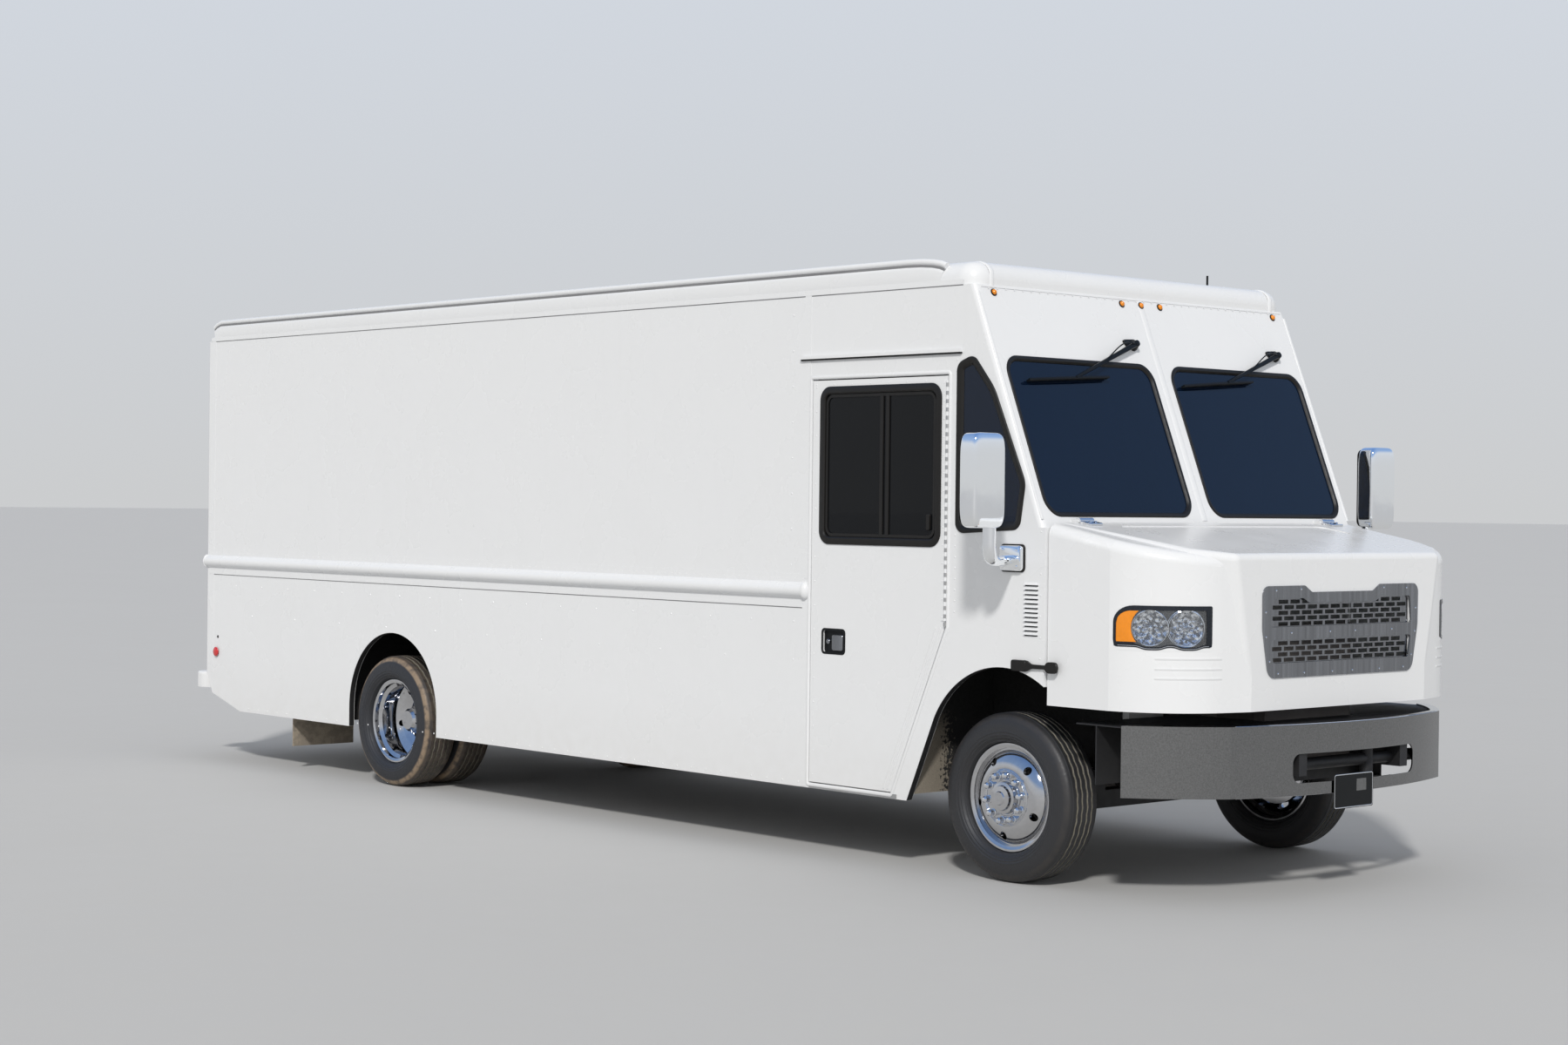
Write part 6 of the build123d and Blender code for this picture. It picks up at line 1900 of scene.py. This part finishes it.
def build_wipers() -> None:
    """Make both wipers as one piece."""
    wipers = [
        Wiper((-0.163, 2.641), (-0.700, 2.447), (-1.042, 2.426), (-0.442, 2.462)),
        Wiper((1.006, 2.636), (0.500, 2.469), (0.131, 2.440), (0.725, 2.484)),
    ]
    made = joined([w.shape() for w in wipers])
    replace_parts(made.piece("wiper_sets", Finishes.PLASTIC, slot="black_plastic"), "wipers")


@dataclass(frozen=True)
class Tyre:
    """A tyre with ribbed tread and ringed sidewalls, on one axle and at one place across."""

    axle_x: float
    centre_y: float
    radius: float = AXLE_Z
    half_width: float = 0.1225
    turns: int = 160

    def section(self) -> Array:
        """Return half the section, from the middle of the tread to the bead: (across, radius)."""
        reach = self.radius - 0.0002
        tread = []
        for low, high in ((0.0, 0.013), (0.022, 0.046), (0.055, 0.079)):
            crown = reach - 0.0035 * (low / 0.08) ** 2
            start = [(low + 0.001, crown - 0.001), (low + 0.002, crown)]
            tread += start if low else [(0.0, crown)]
            tread += [(high - 0.001, crown - 0.0003), (high, crown - 0.002)]
            if high < 0.07:
                tread += [(high + 0.001, crown - 0.011), (high + 0.008, crown - 0.011)]
        t = np.pi / 2 * np.linspace(0.0, 1.0, 13)
        across = 0.0795 + (self.half_width - 0.0795) * np.sin(t) ** 0.8
        shoulder = np.stack([across, reach - 0.006 - 0.084 * (1.0 - np.cos(t)) ** 0.9], -1)
        s = np.linspace(0.08, 1.0, 12)
        ripple = 0.0012 * np.sign(np.sin(s * 22.0))
        wall = np.stack([self.half_width - 0.024 * s**2.2 + ripple, 0.322 - 0.052 * s], -1)
        foot = [(0.0765, 0.2655), (0.0735, 0.2485)]
        return np.concatenate([tread, shoulder[1:], wall, foot])

    def shape(self) -> Shape:
        """Return the closed tyre: the section and its mirror image, turned about the axle."""
        half = self.section()
        whole = np.concatenate([half[::-1] * (-1.0, 1.0), half[1:]])
        count = len(whole)
        made = turned(whole, (self.axle_x, self.centre_y, self.radius), Y_AXIS, self.turns)
        first = np.arange(self.turns) * count
        ahead = np.roll(first, -1)
        inside = np.stack([first, ahead, ahead + count - 1, first + count - 1], -1)
        return outward(Shape(self.notched(made.points, count), [*made.faces, inside]))

    def notched(self, points: Array, across: int) -> Array:
        """Return the points with the groove edges waved, 0.0022 sin(40 u) across.

        Args:
            points: the tyre's points, one turn of the section after another.
            across: points in one section.

        Returns:
            The moved points.
        """
        turn = np.repeat(np.arange(self.turns), across) * 2.0 * np.pi / self.turns
        out = np.hypot(points[:, 0] - self.axle_x, points[:, 2] - self.radius)
        inside = np.abs(points[:, 1] - self.centre_y) < 0.060
        wave = 0.0022 * np.sin(40.0 * turn) * inside * (out > self.radius - 0.02)
        moved = points.copy()
        moved[:, 1] += wave
        return moved


class Wheels:
    """Tyres with dusty grooves, lug covers and hub rings."""

    def build(self) -> None:
        """Make the pieces of all four wheel stations."""
        for side in Side:
            name = side.name.lower()
            tyre = Tyre(FRONT_X, -1.022).shape().on(side)
            body = f"front_wheel_{name}"
            made = tyre.piece(f"front_tread_{name}", Finishes.FRONT_TREAD, body, "tyre", 28.0)
            self.dust_grooves(made, FRONT_X, (1.022,))
            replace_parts(made, f"front_tyre_{name}")
            tyre = (Tyre(REAR_X, -1.085).shape() + Tyre(REAR_X, -0.812).shape()).on(side)
            twin = f"rear_wheels_{name}"
            made = tyre.piece(f"rear_tread_{name}", Finishes.REAR_TREAD, twin, "tyre", 28.0)
            self.dust_grooves(made, REAR_X, (1.085, 0.812))
            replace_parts(made, f"rear_tyres_{name}")
            trim = self.lugs(FRONT_X, -1.130, 0.042) + self.rings(FRONT_X, -1.130)
            trim.on(side).piece(f"front_lugs_{name}", Finishes.CHROME, body, "wheel_metal")
            trim = self.lugs(REAR_X, -0.9485, 0.044)
            trim.on(side).piece(f"rear_lugs_{name}", Finishes.CHROME, twin, "wheel_metal")

    def dust_grooves(
        self, tyre: bpy.types.Object, axle_x: float, centres: tuple[float, ...]
    ) -> None:
        """Give the floors of the tread's grooves their own dusty finish.

        A face lies in a groove where its middle is within 0.062 of a tyre's middle plane and
        its radius is between 0.395 and 0.406.

        Args:
            tyre: the tread piece.
            axle_x: x of its axle.
            centres: distance of each tyre's middle plane from the van's.
        """
        mesh = tyre.data
        middles = np.empty(len(mesh.polygons) * 3)
        mesh.polygons.foreach_get("center", middles)
        middles = middles.reshape(-1, 3)
        radius = np.hypot(middles[:, 0] - axle_x, middles[:, 2] - AXLE_Z)
        off = np.min([np.abs(np.abs(middles[:, 1]) - c) for c in centres], axis=0)
        inside = (off < 0.062) & (radius > 0.395) & (radius < 0.406)
        mesh.materials.append(Finishes.GROOVE_DUST.value.material())
        mesh.polygons.foreach_set("material_index", inside.astype(np.int32))

    def lugs(self, axle_x: float, face_y: float, length: float) -> Shape:
        """Return ten bright lug covers on a 0.112 circle."""
        profile = np.array(
            [
                (-0.001, 0.0), (-0.001, 0.0200), (0.005, 0.0200), (0.007, 0.0165),
                (length - 0.009, 0.0155), (length - 0.002, 0.010), (length, 0.0),
            ]
        )
        turn = whole_turn(10) + 0.15
        circle_x, circle_z = axle_x + 0.112 * np.cos(turn), AXLE_Z + 0.112 * np.sin(turn)
        places = points_at(circle_x, face_y, circle_z)
        return joined([outward(turned(profile, p, OUT, 14)) for p in places])

    def rings(self, axle_x: float, face_y: float) -> Shape:
        """Return the stepped rings round the hub."""
        section = bead(0.0045, 0.003, 5, 0.0015)[:, ::-1]
        section = np.concatenate([section, section[:1]])
        centre = (axle_x, face_y, AXLE_Z)
        rings = [
            outward(turned(section + (0.0, radius), centre, OUT, 64))
            for radius in (0.0875, 0.125, 0.132, 0.1385)
        ]
        return joined(rings)


class Rear:
    """The tail: door hardware, rivets, lamp lenses, side markers and the step's tread."""

    def build(self) -> None:
        """Make the pieces of the tail."""
        x = BODY_REAR_X
        # columns: start y, start z, end y, end z, gap
        rows = [
            (-1.175, 0.62, -1.175, 2.86, 0.09),
            (-1.12, 2.80, 1.12, 2.80, 0.09),
            (-1.12, 0.76, 1.12, 0.76, 0.09),
        ]
        heads = rivets(BODY_RIVET, rows_of(rows, cross_plane(x)), BACK)
        heads.both().piece("tail_rivets", Finishes.PAINT)
        for side in Side:
            name = side.name.lower()
            body = f"rear_door_{name}"
            self.door_trim().on(side).piece(
                f"rear_door_hardware_{name}", Finishes.CHROME, body, "mirror_chrome"
            )
            self.door_seal().on(side).piece(
                f"rear_door_seal_{name}", Finishes.RUBBER, body, "black_rubber"
            )
        lamps = points_at(x, [-1.080, -0.930, 0.930, 1.080], 0.700)
        big = stamped(dome(0.049, 0.012, 36, 6), lamps, BACK)
        top = points_at(x, [-1.100, -0.150, 0.0, 0.150, 1.100], 2.838)
        small = stamped(dome(0.016, 0.014, 20, 5), top, BACK)
        (big + small).piece("tail_lenses", Finishes.RED, slot="lamp_red")
        marker = on_side([REAR_X - 2.154], 0.742, 0.010)
        side_lens = stamped(dome(0.033, 0.011, 32, 5), marker, OUT)
        side_lens.both().piece("marker_lenses", Finishes.RED, slot="lamp_red")
        plug = stamped(dome(0.011, 0.004, 16), on_side([-4.123], 0.846), OUT)
        plug.both().piece("marker_plugs", Finishes.RUBBER, slot="black_rubber")
        self.treads().piece("step_treads", Finishes.RUBBER, slot="black_rubber")

    def door_trim(self) -> Shape:
        """Return a latch handle, the rod guides and the hinge knuckles of one rear door."""
        x = BODY_REAR_X
        guide = slab(half_box(0.030, 0.022, 0.006, 4), 0.022, 0.004)
        heights = (0.93, 1.35, 2.15, 2.66)
        guides = [placed(guide, (x, -0.120, z), OUT, Z_AXIS) for z in heights]
        start, end = (x - 0.026, -0.120, 1.62), (x - 0.034, -0.330, 1.60)
        lever = strip(start, end, circle(0.012, 14, 0.006), BACK)
        hub = np.array([(0.0, 0.0), (0.0, 0.024), (0.030, 0.022), (0.034, 0.0)])
        pins = [turned(hub, (x, -0.120, 1.62), BACK, 20)]
        for z in np.arange(0.88, 2.6, 0.21):
            pins.append(turned(sleeve(0.10), (x - 0.0061, -1.127, z), Z_AXIS, 10))
        return joined([*guides, lever, *map(outward, pins)])

    def door_seal(self) -> Shape:
        """Return the rubber strip where the two rear doors meet."""
        flat = oblong(0.005, 0.0, 0.004) - (0.003, 0.0)
        return strip((BODY_REAR_X, -0.010, 0.83), (BODY_REAR_X, -0.010, 2.75), flat, BACK)

    def treads(self) -> Shape:
        """Return the grip ribs across the rear step."""
        rib = oblong(0.004, -0.0005, 0.003, 0.0025)
        lines = np.linspace(-4.470, -4.365, 6)
        return joined([strip((x, -1.05, 0.590), (x, 1.05, 0.590), rib, Z_AXIS) for x in lines])


class Cab:
    """What shows through the glass: the seat's pads and its pedestal."""

    seat_y = 0.560
    seat_x = FRONT_X - 0.640

    def build(self) -> None:
        """Make the cab's pieces."""
        x, y = self.seat_x, self.seat_y
        base = pillow((0.46, 0.48, 0.130), 0.45).moved((x + 0.020, y, 1.262))
        back = pillow((0.115, 0.46, 0.700), 0.45)
        lean = Matrix.Rotation(math.radians(-6.5), 3, "Y")
        back = Shape(back.points @ np.array(lean).T, back.faces).moved((x - 0.207, y, 1.620))
        pads = (base + back).piece("seat_pads", Finishes.SEAT, slot="seat_cover", sharp=60.0)
        loop = half_box(0.150, 0.105, 0.02, 4)
        legs = placed(slab(loop, 0.395, 0.01), (x, y - 0.075, 0.800), X_AXIS, Y_AXIS)
        stand = legs.piece("seat_pedestal", Finishes.CHASSIS, slot="black_plastic")
        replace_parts(stand, "driver_seat")


def main() -> None:
    """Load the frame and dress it."""
    logging.basicConfig(level=logging.INFO, format="%(name)s: %(message)s")
    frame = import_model()
    paint_nodes(frame)
    PhotoCamera().place()
    Studio().build()
    BoxBody().build()
    CabFace().build()
    for side in Side:
        SideDoor(side).build()
    Nose().build()
    Front().build()
    Mirrors().build()
    build_wipers()
    Wheels().build()
    Rear().build()
    Cab().build()


if __name__ == "__main__":
    main()
